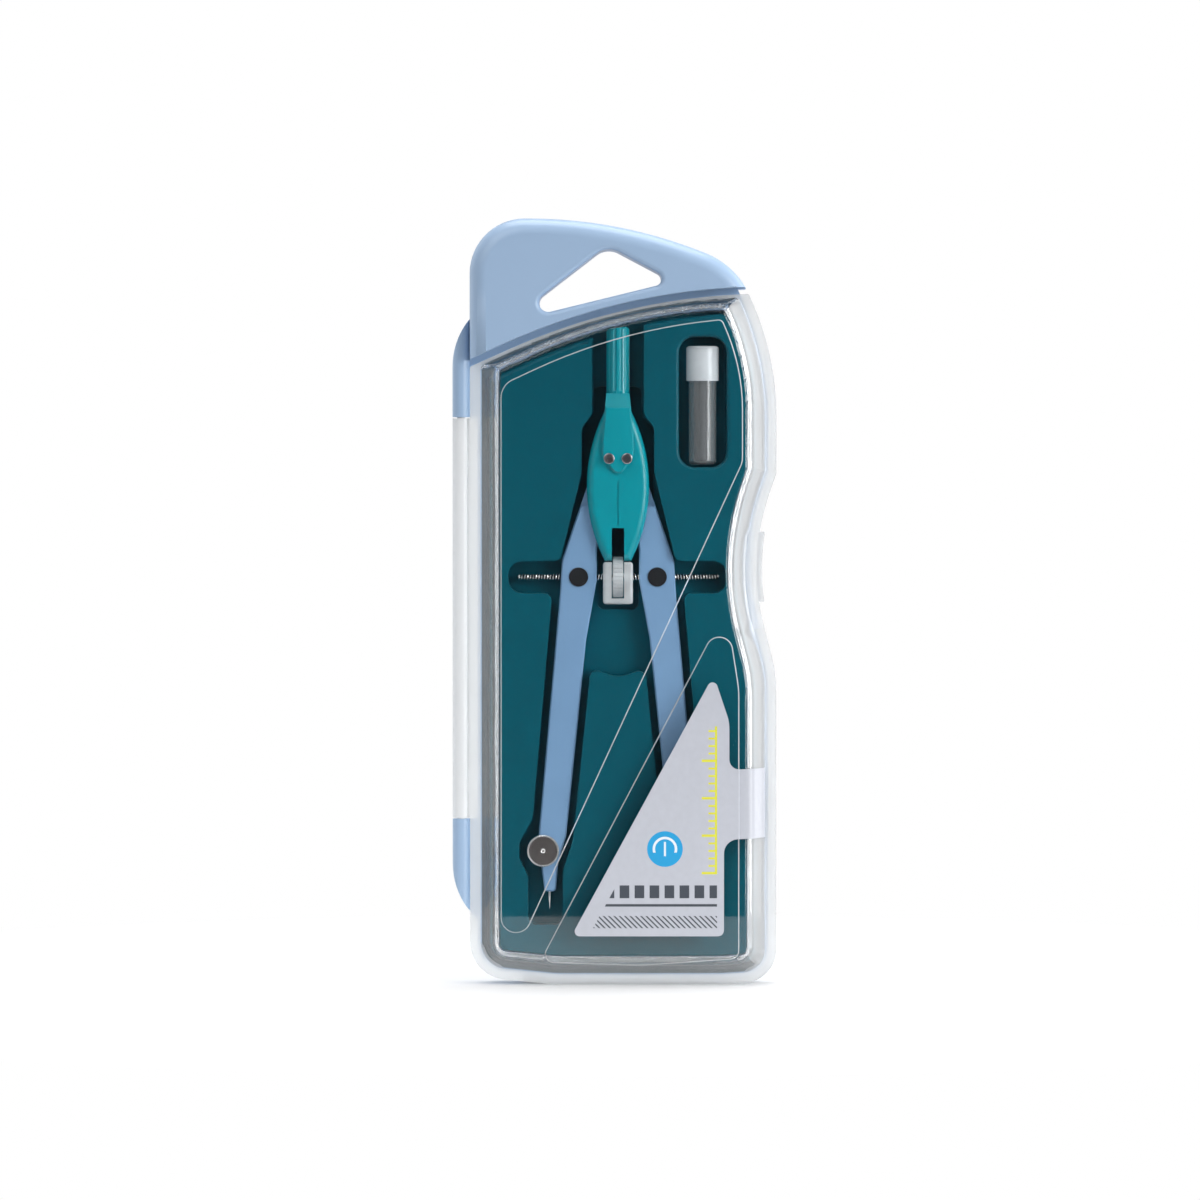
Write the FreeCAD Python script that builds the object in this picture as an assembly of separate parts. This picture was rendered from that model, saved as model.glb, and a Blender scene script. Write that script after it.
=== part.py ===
"""Hinged drafting instrument case with a bow compass and a vial of leads.

Millimetres, +Z up. The case stands on its lower edge, its clear lid faces -Y and its hinge is on the left.
The origin is the middle of the lowest level of the whole. Heights run from the needle point up, widths run
from the compass axis out and depths run from the middle of the compass to the front and to the back.
"""
import FreeCAD
import Part
import math
import os
from FreeCAD import Vector

# Compass: heights
tip_height = 21.3
needle_out = 4.9
clamp_rise = 11.6
leg_lower = 88.5
leg_upper = 33.3
head_above_pivot = 14.1
head_below_pivot = 28.7
yoke_neck = 4.2
grip_length = 18.8

# Compass: head, grip and pivots
grip_radius = 3.25
grip_chamfer = 0.8
flute_count = 12
flute_radius = 0.55
head_half_width = 8.7
head_top_half = 3.3
head_end_half = 3.7
head_belly_drop = 10.0
head_shell_depth = 3.7
head_edge_radius = 2.2
leaf_thickness = 1.2
leaf_half_width = 4.5
leaf_below_pivot = 5.6
leaf_above_pivot = 5.2
leaf_edge = 0.5
pivot_half_spacing = 2.52
pivot_screw_radius = 1.0
pivot_head_radius = 1.55
pivot_head_height = 0.9
pivot_head_proud = 0.5
recess_width = 0.45
recess_length = 2.0
recess_depth = 0.6
slot_height = 9.2
seam_width = 0.35
seam_depth = 0.25
seam_rise = 0.9
seam_length = 12.3

# Compass: legs
leg_thickness = 4.4
tongue_thickness = 2.4
tongue_step_drop = 13.5
nut_u = 11.05
foot_u = 17.9
foot_rise = 20.8
leg_half_low = 3.9
leg_half_nut = 5.0
leg_tip_half = 1.6
leg_tip_radius = 1.0
boss_radius = 2.05
gear_tooth_count = 12
gear_addendum = 0.4
gear_tooth_share = 0.4
leg_corner_radius = 2.0
leg_edge = 0.4

# Compass: spindle, nuts, wheel and carrier
spindle_radius = 1.0
spindle_half = 28.2
nut_radius = 2.65
nut_proud = 0.3
wheel_radius = 5.75
wheel_width = 3.0
wheel_groove_count = 30
wheel_groove = 0.22
carrier_half_width = 4.2
carrier_half_depth = 4.9
carrier_bottom = 1.6
carrier_edge = 0.9
carrier_top_gap = 0.35

# Compass: needle, lead and clamp screws
clamp_u = 21.0
clamp_head_radius = 4.5
clamp_head_height = 2.0
clamp_collar_height = 0.5
clamp_collar_radius = 2.2
clamp_shank_radius = 0.8
clamp_boss_radius = 2.6
clamp_dimple = 1.1
knurl_count = 40
knurl_radius = 0.2
needle_u = 19.2
needle_radius = 0.55
needle_in = 14.0
needle_taper = 3.4
needle_point = 0.08
lead_u = 18.9
lead_radius = 1.0
lead_in = 14.0
lead_taper = 2.6
lead_point = 0.35

# Vial and spare leads
vial_offset = 23.8
vial_drop = 47.8
vial_length = 27.5
vial_radius = 3.9
vial_wall = 0.75
cap_radius = 4.65
cap_height = 9.8
cap_grip = 4.0
cap_top = 1.2
spare_length = 24.0
spare_radius = 1.0
spare_circle = 1.65
spare_count = 3

# Fits and clearances
running_gap = 0.05
swing_gap = 0.25
seat_gap = 0.3
leg_room = 0.8
tray_gap = 0.3
lid_gap = 0.1
handle_gap = 0.4
lid_clearance = 1.1
channel_outer_gap = 2.2
channel_inner_gap = 1.3
pocket_gap = 1.6

# Case: walls and levels
lid_wall = 1.5
panel_height = 0.5
base_wall = 1.8
base_floor = 1.8
tray_wall = 1.0
floor_space = 2.9
land_proud = 3.8
parting_rise = 1.4
flange_width = 2.0
flange_top = 0.4
flange_thickness = 1.5
rim_overhang = 2.2
skirt_wall = 1.2
skirt_depth = 9.5
skirt_start = 15.0
lid_top_play = 1.5
lid_slope = 5.0
lid_slope_top = 2.4
lid_edge_radius = 3.0
lid_inner_radius = 1.5
corner_ease = 1.4
back_edge_radius = 2.4
handle_edge_radius = 4.6
handle_wall = 2.2
hole_wall = 2.0

# Case: outline
land_inset = 6.8
slot_end_gap = 2.6
left_land = 4.0
waist_land = 1.5
waist_depth = 5.4
waist_sharp = 2.9
hinge_reach = 4.9
corner_rise_left = 2.5
corner_rise_right = 1.1
corner_radius_left = 10.6
corner_radius_right = 9.5
foot_left = 17.6
foot_right = 29.1
foot_radius = 34.0
shoulder_drop = 27.1
shoulder_radius = 42.0
waist_rise = 4.9
waist_radius = 65.0
notch_rise = 29.2
notch_radius = 2.9
bulge_drop = 16.6
bulge_radius = 83.0
bulge_lean = 25.0
lid_headroom = 9.0
lid_top_left_drop = 18.7
lid_top_right_rise = 1.6
lid_top_radius = 182.0
lid_corner_radius = 1.6
handle_height = 21.2
handle_brow_drop = 13.0
handle_brow_radius = 23.0
handle_top_radius = 132.0
handle_corner_radius = 15.4

# Handle hole: distances from the compass axis and below the handle top
hole_left = 30.8
hole_left_drop = 29.1
hole_left_radius = 2.6
hole_right = 15.7
hole_right_drop = 17.7
hole_right_radius = 2.0
hole_apex = 3.1
hole_apex_drop = 7.7
hole_apex_radius = 5.6
hole_edge_radius = 1.4

# Hinge, thumb flap and catch
hinge_radius = 2.4
hinge_pin_radius = 1.2
hinge_pin_length = 4.0
hinge_gap = 0.3
ear_bottom_z = 17.0
ear_bottom_top = 46.7
ear_top_drop = 34.5
ear_tip_drop = 3.1
ear_taper = 6.6
ear_round = 26.0
flap_drop_low = 6.9
flap_rise = 12.7
flap_gap = 0.25
flap_thickness = 1.2
flap_drop = 4.2
catch_height = 0.45
catch_depth = 1.0
catch_drop = 2.4

# Raised panels of the lid: distances in from the compass axis and heights
panel_edge = 0.3
panel_a_left = 32.9
panel_a_right = 35.0
panel_b_left = 22.1
panel_b_right = 34.0
panel_a_foot = -0.3
panel_a_knee_rise = 32.3
panel_a_bulge_drop = 19.9
panel_a_top_right = 29.1
panel_a_top_drop = 7.1
panel_a_peak = 0.7
panel_a_peak_drop = 9.8
panel_a_left_drop = 25.5
panel_b_low = 6.7
panel_b_mid = 6.2
panel_b_mid_z = 5.8
panel_b_right_z = 7.7
panel_b_shoulder_drop = 31.5
panel_b_apex = 30.4
panel_b_apex_drop = 8.2

# Label: distances from the compass axis and heights
label_thickness = 0.15
label_left = 13.1
label_low = 14.1
label_right = 29.7
label_tab_low = 41.2
label_tab_reach = 41.9
label_tab_high = 61.2
label_upper_right = 31.2
label_shoulder_drop = 40.5
label_apex = 26.8
label_apex_drop = 27.3

# Tray pockets
grip_pocket_half = 7.3
head_pocket_half = 10.2
knee_pocket_u = 16.2
spindle_pocket_half = 4.6
wheel_pocket_bottom = 26.5
wheel_pocket_round = 5.0
screw_pocket_gap = 2.2
needle_pocket_half = 3.6
needle_pocket_drop = 4.4
vial_pocket_half = 6.7
vial_pocket_end = 2.6
vial_pocket_round = 4.5
pocket_edge = 0.9
land_edge = 1.6
ledge_height = 3.0

# Heights worked out from the compass
leg_bottom = tip_height + needle_out
clamp_z = leg_bottom + clamp_rise
nut_z = leg_bottom + leg_lower
pivot_z = nut_z + leg_upper
head_bottom = pivot_z - head_below_pivot
head_top = pivot_z + head_above_pivot
grip_bottom = head_top + yoke_neck
grip_top = grip_bottom + grip_length
lid_top_z = grip_top + lid_headroom
top_z = lid_top_z + handle_height
vial_bottom = lid_top_z - vial_drop

# Heights of the outline, which follow the nuts and the top of the lid
shoulder_z = nut_z - shoulder_drop
waist_z = nut_z + waist_rise
notch_z = nut_z + notch_rise
bulge_z = lid_top_z - bulge_drop
ear_top_z = lid_top_z - ear_top_drop
ear_top_top = lid_top_z - ear_tip_drop
flap_low = nut_z - flap_drop_low
flap_high = nut_z + flap_rise
panel_a_knee = nut_z + panel_a_knee_rise
panel_a_bulge = lid_top_z - panel_a_bulge_drop
panel_a_top_z = lid_top_z - panel_a_top_drop
panel_a_peak_z = lid_top_z - panel_a_peak_drop
panel_a_left_z = lid_top_z - panel_a_left_drop
panel_b_shoulder = nut_z - panel_b_shoulder_drop
panel_b_apex_z = nut_z - panel_b_apex_drop
label_shoulder = nut_z - label_shoulder_drop
label_apex_z = nut_z - label_apex_drop

# Widths worked out from the spindle and its slot
left_reach = spindle_half + slot_end_gap + left_land + land_inset
waist_reach = spindle_half + slot_end_gap + waist_land + land_inset
right_reach = waist_reach + waist_depth
axis_x = (left_reach + hinge_reach - right_reach) / 2
case_left = axis_x - left_reach
case_right = axis_x + right_reach
hinge_x = case_left - hinge_reach + hinge_radius

# Depths worked out from the head of the compass
head_half_depth = tongue_thickness / 2 + running_gap + head_shell_depth
leaf_half_depth = head_half_depth + leaf_thickness
front_stack = leaf_half_depth + pivot_head_proud + lid_clearance + lid_wall + panel_height + label_thickness
back_stack = leaf_half_depth + seat_gap + tray_wall + floor_space + base_floor
back_y = (front_stack + back_stack) / 2
mid_y = front_stack - back_y
front_y = label_thickness - back_y
face_y = front_y + panel_height
land_y = mid_y - land_proud
part_y = mid_y - parting_rise
leg_front = mid_y - leg_thickness / 2
leg_back = mid_y + leg_thickness / 2
lean = (foot_u - nut_u) / (leg_lower - foot_rise)


def rounded_wire(corners, inset=0.0, depth=0.0, least=0.2):
    """Closed wire in the plane Y = depth through corners (x, z, radius), given anticlockwise.

    Args:
        corners: corner points, each with the radius that rounds it.
        inset: how far every side moves inwards, or one value for each side.
        depth: the Y of the wire.
        least: the smallest radius that a rounded corner is left with.
    """
    count = len(corners)
    insets = inset if isinstance(inset, list) else [inset] * count
    points = [Vector(x, 0, z) for x, z, _ in corners]
    ways = [(points[(i + 1) % count] - points[i]).normalize() for i in range(count)]
    moved = []
    for i in range(count):
        before, after = ways[i - 1], ways[i]
        start = points[i - 1] + Vector(-before.z, 0, before.x) * insets[i - 1]
        other = points[i] + Vector(-after.z, 0, after.x) * insets[i]
        cross = before.x * after.z - before.z * after.x
        gap = other - start
        moved.append(start + before * ((gap.x * after.z - gap.z * after.x) / cross))
    turns, reach = [], []
    for i in range(count):
        before, after = ways[i - 1], ways[i]
        turn = math.atan2(before.x * after.z - before.z * after.x, before.x * after.x + before.z * after.z)
        shift = (insets[i - 1] + insets[i]) / 2
        radius = corners[i][2]
        if radius > 0:
            radius = max(radius - shift if turn > 0 else radius + shift, least)
        turns.append(turn)
        reach.append(radius * math.tan(abs(turn) / 2))
    for i in range(count):
        length = (moved[(i + 1) % count] - moved[i]).Length
        needed = reach[i] + reach[(i + 1) % count]
        if needed > 0.98 * length:
            reach[i] *= 0.98 * length / needed
            reach[(i + 1) % count] *= 0.98 * length / needed
    ends, arcs = [], []
    for i in range(count):
        before, after = ways[i - 1], ways[i]
        first = moved[i] - before * reach[i]
        last = moved[i] + after * reach[i]
        half = abs(turns[i]) / 2
        middle = moved[i]
        if reach[i] > 1e-6:
            toward = (after - before).normalize()
            radius = reach[i] / math.tan(half)
            middle = moved[i] + toward * (radius / math.cos(half) - radius)
        ends.append((first, last))
        arcs.append(middle)
    lift = Vector(0, depth, 0)
    edges = []
    for i in range(count):
        first, last = ends[i]
        if (last - first).Length > 1e-6:
            edges.append(Part.Arc(first + lift, arcs[i] + lift, last + lift).toShape())
        following = ends[(i + 1) % count][0]
        if (following - last).Length > 1e-6:
            edges.append(Part.LineSegment(last + lift, following + lift).toShape())
    return Part.Wire(edges)


def prism(corners, from_y, to_y, inset=0.0, least=0.2):
    """Solid between two depths over a rounded outline."""
    face = Part.Face(rounded_wire(corners, inset, from_y, least))
    return face.extrude(Vector(0, to_y - from_y, 0))


def dome(corners, from_y, to_y, inset_from, inset_to, radius):
    """Solid whose outline narrows evenly from one depth to another, rounded round its far edge."""
    far = rounded_wire(corners, inset_to, to_y, radius * corner_ease)
    solid = Part.makeLoft([rounded_wire(corners, inset_from, from_y), far], True, True)
    return solid.makeFillet(radius, flat_edges(solid, to_y))


def box(x0, x1, y0, y1, z0, z1):
    """Box between two corners."""
    return Part.makeBox(x1 - x0, y1 - y0, z1 - z0, Vector(x0, y0, z0))


def rod_x(radius, x0, x1, y, z):
    """Round rod along X."""
    return Part.makeCylinder(radius, x1 - x0, Vector(x0, y, z), Vector(1, 0, 0))


def rod_y(radius, y0, y1, x, z):
    """Round rod along Y."""
    return Part.makeCylinder(radius, y1 - y0, Vector(x, y0, z), Vector(0, 1, 0))


def rod_z(radius, z0, z1, x, y):
    """Round rod along Z."""
    return Part.makeCylinder(radius, z1 - z0, Vector(x, y, z0))


def flat_edges(shape, y):
    """Edges of a shape that lie in the plane Y = y."""
    return [e for e in shape.Edges if abs(e.BoundBox.YMin - y) < 1e-4 and abs(e.BoundBox.YMax - y) < 1e-4]


def mirrored(shape):
    """Copy of a shape on the other side of the compass axis."""
    return shape.mirror(Vector(axis_x, 0, 0), Vector(1, 0, 0))


def from_axis(points):
    """Corners whose widths are measured from the compass axis."""
    return [(axis_x + x, z, r) for x, z, r in points]


def save(name, shape):
    """Write one piece to its file."""
    shape.exportStep("parts/" + name + ".step")


# Outlines of the case
low_corners = [
    (case_left, corner_rise_left, corner_radius_left),
    (axis_x - foot_left, 0.0, foot_radius),
    (axis_x + foot_right, 0.0, foot_radius),
    (case_right, corner_rise_right, corner_radius_right),
    (case_right, shoulder_z, shoulder_radius),
    (case_right - waist_depth - waist_sharp, waist_z, waist_radius),
    (case_right, notch_z, notch_radius),
    (case_right, bulge_z, bulge_radius),
]
lean_run = math.tan(math.radians(bulge_lean))
lid_right_z = lid_top_z + lid_top_right_rise
lid_corners = low_corners + [
    (case_right - (lid_right_z - bulge_z) * lean_run, lid_right_z, lid_corner_radius),
    (axis_x, lid_top_z, lid_top_radius),
    (case_left, lid_top_z - lid_top_left_drop, lid_corner_radius),
]
brow_z = top_z - handle_brow_drop
upper_corners = [
    (case_right - (brow_z - bulge_z) * lean_run, brow_z, handle_brow_radius),
    (axis_x, top_z, handle_top_radius),
    (case_left, top_z, handle_corner_radius),
]
case_corners = low_corners + upper_corners
hole_corners = from_axis([
    (-hole_left, top_z - hole_left_drop, hole_left_radius),
    (hole_right, top_z - hole_right_drop, hole_right_radius),
    (-hole_apex, top_z - hole_apex_drop, hole_apex_radius),
])


def lid_insets(side, top):
    """Insets of the lid's sides, with their own value along the top."""
    return [side] * 8 + [top] * 2 + [side]


def base_shell():
    """Back shell with the carrying handle and the hinge ears in one moulding."""
    inside = lid_insets(rim_overhang + base_wall, base_wall)
    grip = prism(case_corners, part_y, back_y)
    grip = grip.makeFillet(back_edge_radius, flat_edges(grip, back_y))
    grip = grip.cut(prism(lid_corners, part_y - 1, back_y + 1, lid_insets(-base_wall, 0.0)))
    shell = prism(lid_corners, part_y, back_y, lid_insets(rim_overhang, -handle_gap))
    shell = shell.makeFillet(back_edge_radius, flat_edges(shell, back_y))
    shell = shell.fuse(grip)
    blank_corners = [(case_left, waist_z, 0.0), (case_right, waist_z, 0.0)] + case_corners[7:]
    handle = prism(blank_corners, front_y, part_y)
    rim = [e for e in flat_edges(handle, front_y) if e.BoundBox.ZMax > waist_z + 1]
    handle = handle.makeFillet(handle_edge_radius, rim)
    handle = handle.cut(prism(lid_corners, front_y - 1, part_y + 1, -handle_gap))
    handle = handle.common(box(case_left - 1, case_right + 1, front_y - 1, back_y, bulge_z - 8, top_z + 1))
    shell = shell.fuse(handle).removeSplitter()
    shell = shell.cut(prism(lid_corners, part_y - 1, back_y - base_floor, inside))
    core = prism(case_corners, front_y + handle_wall, back_y + 1, handle_wall)
    core = core.cut(prism(lid_corners, front_y - 1, back_y + 2, -handle_gap - handle_wall))
    core = core.cut(prism(hole_corners, front_y - 1, back_y + 2, -hole_wall))
    core = core.common(box(case_left - 1, case_right + 1, front_y - 1, back_y + 2, bulge_z - 8, top_z + 1))
    shell = shell.cut(core)
    shell = shell.cut(prism(hole_corners, front_y - 1, back_y + 1))
    rim = [e for e in flat_edges(shell, front_y) if inside_hole(e)]
    shell = shell.makeFillet(hole_edge_radius, rim)
    for z0, z1, up in ((ear_bottom_z, ear_bottom_top, False), (ear_top_z, ear_top_top, True)):
        shell = shell.fuse(ear(z0, z1, up))
    bores = (ear_bottom_top - hinge_pin_length - hinge_gap, ear_top_z - 1)
    for z0 in bores:
        bore = rod_z(hinge_pin_radius + running_gap, z0, z0 + hinge_pin_length + hinge_gap + 1, hinge_x, part_y)
        shell = shell.cut(bore)
    groove = flap_strip(-rim_overhang - catch_height - flap_gap, 0.0, part_y + catch_drop - flap_gap,
                        part_y + catch_drop + catch_depth + flap_gap, flap_gap)
    return shell.cut(groove).removeSplitter()


def inside_hole(edge):
    """Whether an edge of the handle's front belongs to the finger hole."""
    spread = edge.BoundBox
    left, right = axis_x - hole_left - 0.1, axis_x + hole_right + 0.1
    low, high = top_z - hole_left_drop - 0.1, top_z - hole_apex_drop + 0.1
    return spread.XMin > left and spread.XMax < right and spread.ZMin > low and spread.ZMax < high


def ear(z0, z1, up):
    """Hinge ear whose outer end is rounded off at its top or its bottom."""
    solid = rod_z(hinge_radius, z0, z1, hinge_x, part_y)
    web = box(hinge_x, case_left + rim_overhang + base_wall / 2, part_y, part_y + hinge_radius, z0, z1)
    inner = case_left + rim_overhang + base_wall
    outer = hinge_x - hinge_radius
    if up:
        corners = [(outer, z0, 0.0), (inner, z0, 0.0), (inner, z1, 0.0), (outer, z1 - ear_taper, ear_round)]
    else:
        corners = [(outer, z0 + ear_taper, ear_round), (inner, z0, 0.0), (inner, z1, 0.0), (outer, z1, 0.0)]
    trim = prism(corners, part_y - 2 * hinge_radius, part_y + 2 * hinge_radius)
    return solid.fuse(web).removeSplitter().common(trim)


def flap_strip(inner, outer, y0, y1, spare=0.0):
    """Strip that follows the waist of the outline, between two distances outside it."""
    strip = prism(lid_corners, y0, y1, -outer).cut(prism(lid_corners, y0 - 1, y1 + 1, -inner))
    return strip.common(box(axis_x + spindle_half, case_right, y0, y1, flap_low - spare, flap_high + spare))


def lid_body(extra):
    """Outside of the lid as a solid, grown by a little where a sheet is laid over it."""
    side, top = flange_width - extra, lid_top_play + flange_top - extra
    body = dome(lid_corners, part_y - lid_gap, face_y - extra, lid_insets(side, top),
                lid_insets(side + lid_slope, top + lid_slope_top), lid_edge_radius + extra)
    for corners in (panel_a_corners, panel_b_corners):
        panel = prism(corners, front_y - extra, face_y + lid_wall / 2, -extra)
        panel = panel.makeChamfer(panel_edge, flat_edges(panel, front_y - extra))
        body = body.fuse(panel)
    return body


panel_a_corners = from_axis([
    (-panel_a_left, panel_a_foot, 4.3),
    (panel_a_right, panel_a_knee, 5.6),
    (panel_a_right, panel_a_bulge, 62.0),
    (panel_a_top_right, panel_a_top_z, 1.7),
    (panel_a_peak, panel_a_peak_z, 160.0),
    (-panel_a_left, panel_a_left_z, 5.6),
])
panel_b_corners = from_axis([
    (-panel_b_left, panel_b_low, 2.5),
    (panel_b_mid, panel_b_mid_z, 84.0),
    (panel_b_right, panel_b_right_z, 2.5),
    (panel_b_right, panel_b_shoulder, 28.0),
    (panel_b_apex, panel_b_apex_z, 3.9),
])
label_corners = from_axis([
    (-label_left, label_low, 1.4),
    (label_right, label_low, 1.7),
    (label_right, label_tab_low, 4.0),
    (label_tab_reach, label_tab_low + 0.4, 0.3),
    (label_tab_reach, label_tab_high, 0.3),
    (label_upper_right, label_tab_high - 0.4, 2.8),
    (label_upper_right, label_shoulder, 11.0),
    (label_apex, label_apex_z, 1.4),
])


def lid():
    """Clear lid with its rim flange, hinge barrel, stub pins and thumb flap."""
    seat = part_y - lid_gap
    solid = lid_body(0.0)
    solid = solid.fuse(prism(lid_corners, seat - flange_thickness, seat, lid_insets(0.0, lid_top_play)))
    side, top = flange_width + lid_wall, lid_top_play + flange_top + lid_wall
    hollow = dome(lid_corners, seat, face_y + lid_wall, lid_insets(side, top),
                  lid_insets(side + lid_slope, top + lid_slope_top), lid_inner_radius)
    z0, z1 = ear_bottom_top + hinge_gap, ear_top_z - hinge_gap
    solid = solid.fuse(rod_z(hinge_radius, z0, z1, hinge_x, part_y))
    solid = solid.fuse(box(hinge_x, case_left + flange_width / 2, seat - flange_thickness, seat, z0, z1))
    solid = solid.fuse(rod_z(hinge_pin_radius, z0 - hinge_pin_length, z1 + hinge_pin_length, hinge_x, part_y))
    solid = solid.fuse(flap_strip(-flange_width / 2, flap_gap + flap_thickness, seat - flange_thickness, seat))
    solid = solid.fuse(flap_strip(-skirt_wall / 2, flap_gap + flap_thickness, seat - flange_thickness,
                                  part_y + flap_drop))
    solid = solid.fuse(skirt())
    solid = solid.fuse(flap_strip(-rim_overhang - catch_height, -skirt_wall / 2,
                                  part_y + catch_drop, part_y + catch_drop + catch_depth))
    return solid.cut(hollow).removeSplitter()


def skirt():
    """Band of the lid that reaches back round the base along the foot and the right side."""
    from_y, to_y = part_y - lid_gap - flange_thickness, part_y + skirt_depth
    band = prism(lid_corners, from_y, to_y).cut(prism(lid_corners, from_y - 1, to_y + 1, skirt_wall))
    return band.common(box(case_left + skirt_start, case_right + 1, from_y, to_y, -1, bulge_z))


def lid_label():
    """Thin sheet on the lower panel of the lid, with a tab over its right wall."""
    sheet = lid_body(label_thickness).cut(lid_body(0.0))
    return sheet.common(prism(label_corners, front_y - 2, part_y - lid_gap - flange_thickness - 0.6))


def leg_outline():
    """Corners of a leg, its widths measured out from the compass axis."""
    tip_u = (needle_u + lead_u) / 2
    foot_z = leg_bottom + foot_rise
    low_z, knee_z, calf_z = clamp_z + 4.0, nut_z - 4.0, nut_z - 17.5
    outer_low = foot_u + lean * (foot_z - low_z) + leg_half_low
    inner_low = foot_u + lean * (foot_z - low_z) - leg_half_low
    outer_knee = nut_u + lean * (nut_z - knee_z) + leg_half_nut - 0.2
    inner_calf = nut_u + lean * (nut_z - calf_z) - leg_half_low
    return [
        (tip_u - leg_tip_half, leg_bottom, leg_tip_radius),
        (tip_u + leg_tip_half, leg_bottom, leg_tip_radius),
        (clamp_u + 0.6, clamp_z - 4.2, leg_corner_radius),
        (outer_low, low_z, 10.0),
        (outer_knee, knee_z, 8.0),
        (nut_u + leg_half_nut - 0.3, nut_z + 4.8, 8.0),
        (pivot_half_spacing + 5.4, pivot_z - 5.6, leg_corner_radius),
        (pivot_half_spacing + 0.4, pivot_z - 5.0, 0.6),
        (nut_u - leg_half_nut - 0.1, nut_z + 7.8, leg_corner_radius),
        (nut_u - leg_half_nut - 0.1, nut_z - 1.0, 3.0),
        (inner_calf, calf_z, 12.0),
        (inner_low, low_z, 6.0),
        (tip_u - 2.3, clamp_z - 3.0, 4.0),
    ]


def gear_sector(first_angle):
    """Toothed boss round a pivot, for the inner side of a leg."""
    boss = rod_y(boss_radius, mid_y - tongue_thickness / 2, mid_y + tongue_thickness / 2,
                 axis_x + pivot_half_spacing, pivot_z)
    step = 2 * math.pi / gear_tooth_count
    half = gear_tooth_share * step / 2
    outer = pivot_half_spacing + gear_addendum
    for k in range(-2, 3):
        angle = math.pi + first_angle + k * step
        spots = ((boss_radius - 0.3, 1.6 * half), (outer, 0.55 * half))
        points = []
        for radius, spread in (spots[0], spots[1]):
            points.append((radius, -spread))
        for radius, spread in (spots[1], spots[0]):
            points.append((radius, spread))
        tooth = [(axis_x + pivot_half_spacing + r * math.cos(angle + a), pivot_z + r * math.sin(angle + a), 0.0)
                 for r, a in points]
        boss = boss.fuse(prism(tooth, mid_y - tongue_thickness / 2, mid_y + tongue_thickness / 2))
    return boss


def leg(first_angle):
    """Leg on the right of the compass axis, without the bore at its foot."""
    outline = from_axis(leg_outline())
    blank = prism(outline, leg_front, leg_back)
    step_z = pivot_z - tongue_step_drop
    thick = blank.common(box(axis_x, case_right, leg_front, leg_back, 0, step_z))
    faces = [e for y in (leg_front, leg_back) for e in flat_edges(thick, y) if e.BoundBox.ZMin < step_z - 0.1]
    thick = thick.makeChamfer(leg_edge, faces)
    boss = rod_y(clamp_boss_radius, leg_front + leg_edge / 2, leg_back - leg_edge / 2, axis_x + clamp_u, clamp_z)
    half = tongue_thickness / 2
    thin = blank.common(box(axis_x, case_right, mid_y - half, mid_y + half, step_z - 1, pivot_z - 5.2))
    arm = prism(from_axis([
        (pivot_half_spacing + 0.4, pivot_z - 5.6, 0.0),
        (pivot_half_spacing + 5.2, pivot_z - 5.6, 0.0),
        (pivot_half_spacing + 1.2, pivot_z + 0.6, 0.0),
        (pivot_half_spacing - 0.4, pivot_z, 0.0),
    ]), mid_y - half, mid_y + half)
    solid = thick.fuse([boss, thin, arm, gear_sector(first_angle)]).removeSplitter()
    pivot = rod_y(pivot_screw_radius + running_gap, mid_y - 5, mid_y + 5, axis_x + pivot_half_spacing, pivot_z)
    solid = solid.cut(pivot)
    solid = solid.cut(rod_y(nut_radius + running_gap, mid_y - 5, mid_y + 5, axis_x + nut_u, nut_z))
    solid = solid.cut(rod_x(spindle_radius + swing_gap, axis_x, axis_x + spindle_half, mid_y, nut_z))
    shank = rod_y(clamp_shank_radius + running_gap, mid_y - 5, mid_y + 5, axis_x + clamp_u, clamp_z)
    return solid.cut(shank)


def left_leg():
    """Leg that carries the needle."""
    solid = leg(0.0)
    return mirrored(solid.cut(rod_z(needle_radius + running_gap, leg_bottom - 1, leg_bottom + needle_in + seat_gap,
                                    axis_x + needle_u, mid_y)))


def right_leg():
    """Leg that carries the lead."""
    solid = leg(math.pi / gear_tooth_count)
    return solid.cut(rod_z(lead_radius + running_gap, leg_bottom - 1, leg_bottom + lead_in + seat_gap,
                           axis_x + lead_u, mid_y))


def pointed_rod(radius, point, taper, top, x):
    """Rod along Z that tapers down to the height of the needle point."""
    shank = rod_z(radius, tip_height + taper, top, x, mid_y)
    cone = Part.makeCone(point, radius, taper, Vector(x, mid_y, tip_height))
    return shank.fuse(cone).removeSplitter()


def clamp_screw():
    """Round-headed screw at the foot of the right leg."""
    x = axis_x + clamp_u
    collar_front = leg_front - running_gap - clamp_collar_height
    head_front = collar_front - clamp_head_height
    head = rod_y(clamp_head_radius, head_front, collar_front, x, clamp_z)
    rims = [e for e in head.Edges if abs(e.Length - 2 * math.pi * clamp_head_radius) < 1e-3]
    head = head.makeChamfer(knurl_radius * 1.5, rims)
    for k in range(knurl_count):
        angle = 2 * math.pi * k / knurl_count
        spot_x = x + (clamp_head_radius + knurl_radius / 2) * math.cos(angle)
        spot_z = clamp_z + (clamp_head_radius + knurl_radius / 2) * math.sin(angle)
        head = head.cut(rod_y(knurl_radius, head_front - 1, collar_front + 1, spot_x, spot_z))
    head = head.cut(Part.makeSphere(clamp_dimple, Vector(x, head_front - clamp_dimple / 2, clamp_z)))
    solid = head.fuse(rod_y(clamp_collar_radius, collar_front, leg_front - running_gap, x, clamp_z))
    return solid.fuse(rod_y(clamp_shank_radius, collar_front, leg_back - leg_edge, x, clamp_z)).removeSplitter()


def spindle_nut():
    """Cross nut of the right leg, bored for the spindle."""
    solid = rod_y(nut_radius, leg_front - nut_proud, leg_back, axis_x + nut_u, nut_z)
    return solid.cut(rod_x(spindle_radius + running_gap, axis_x, axis_x + spindle_half, mid_y, nut_z))


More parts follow.
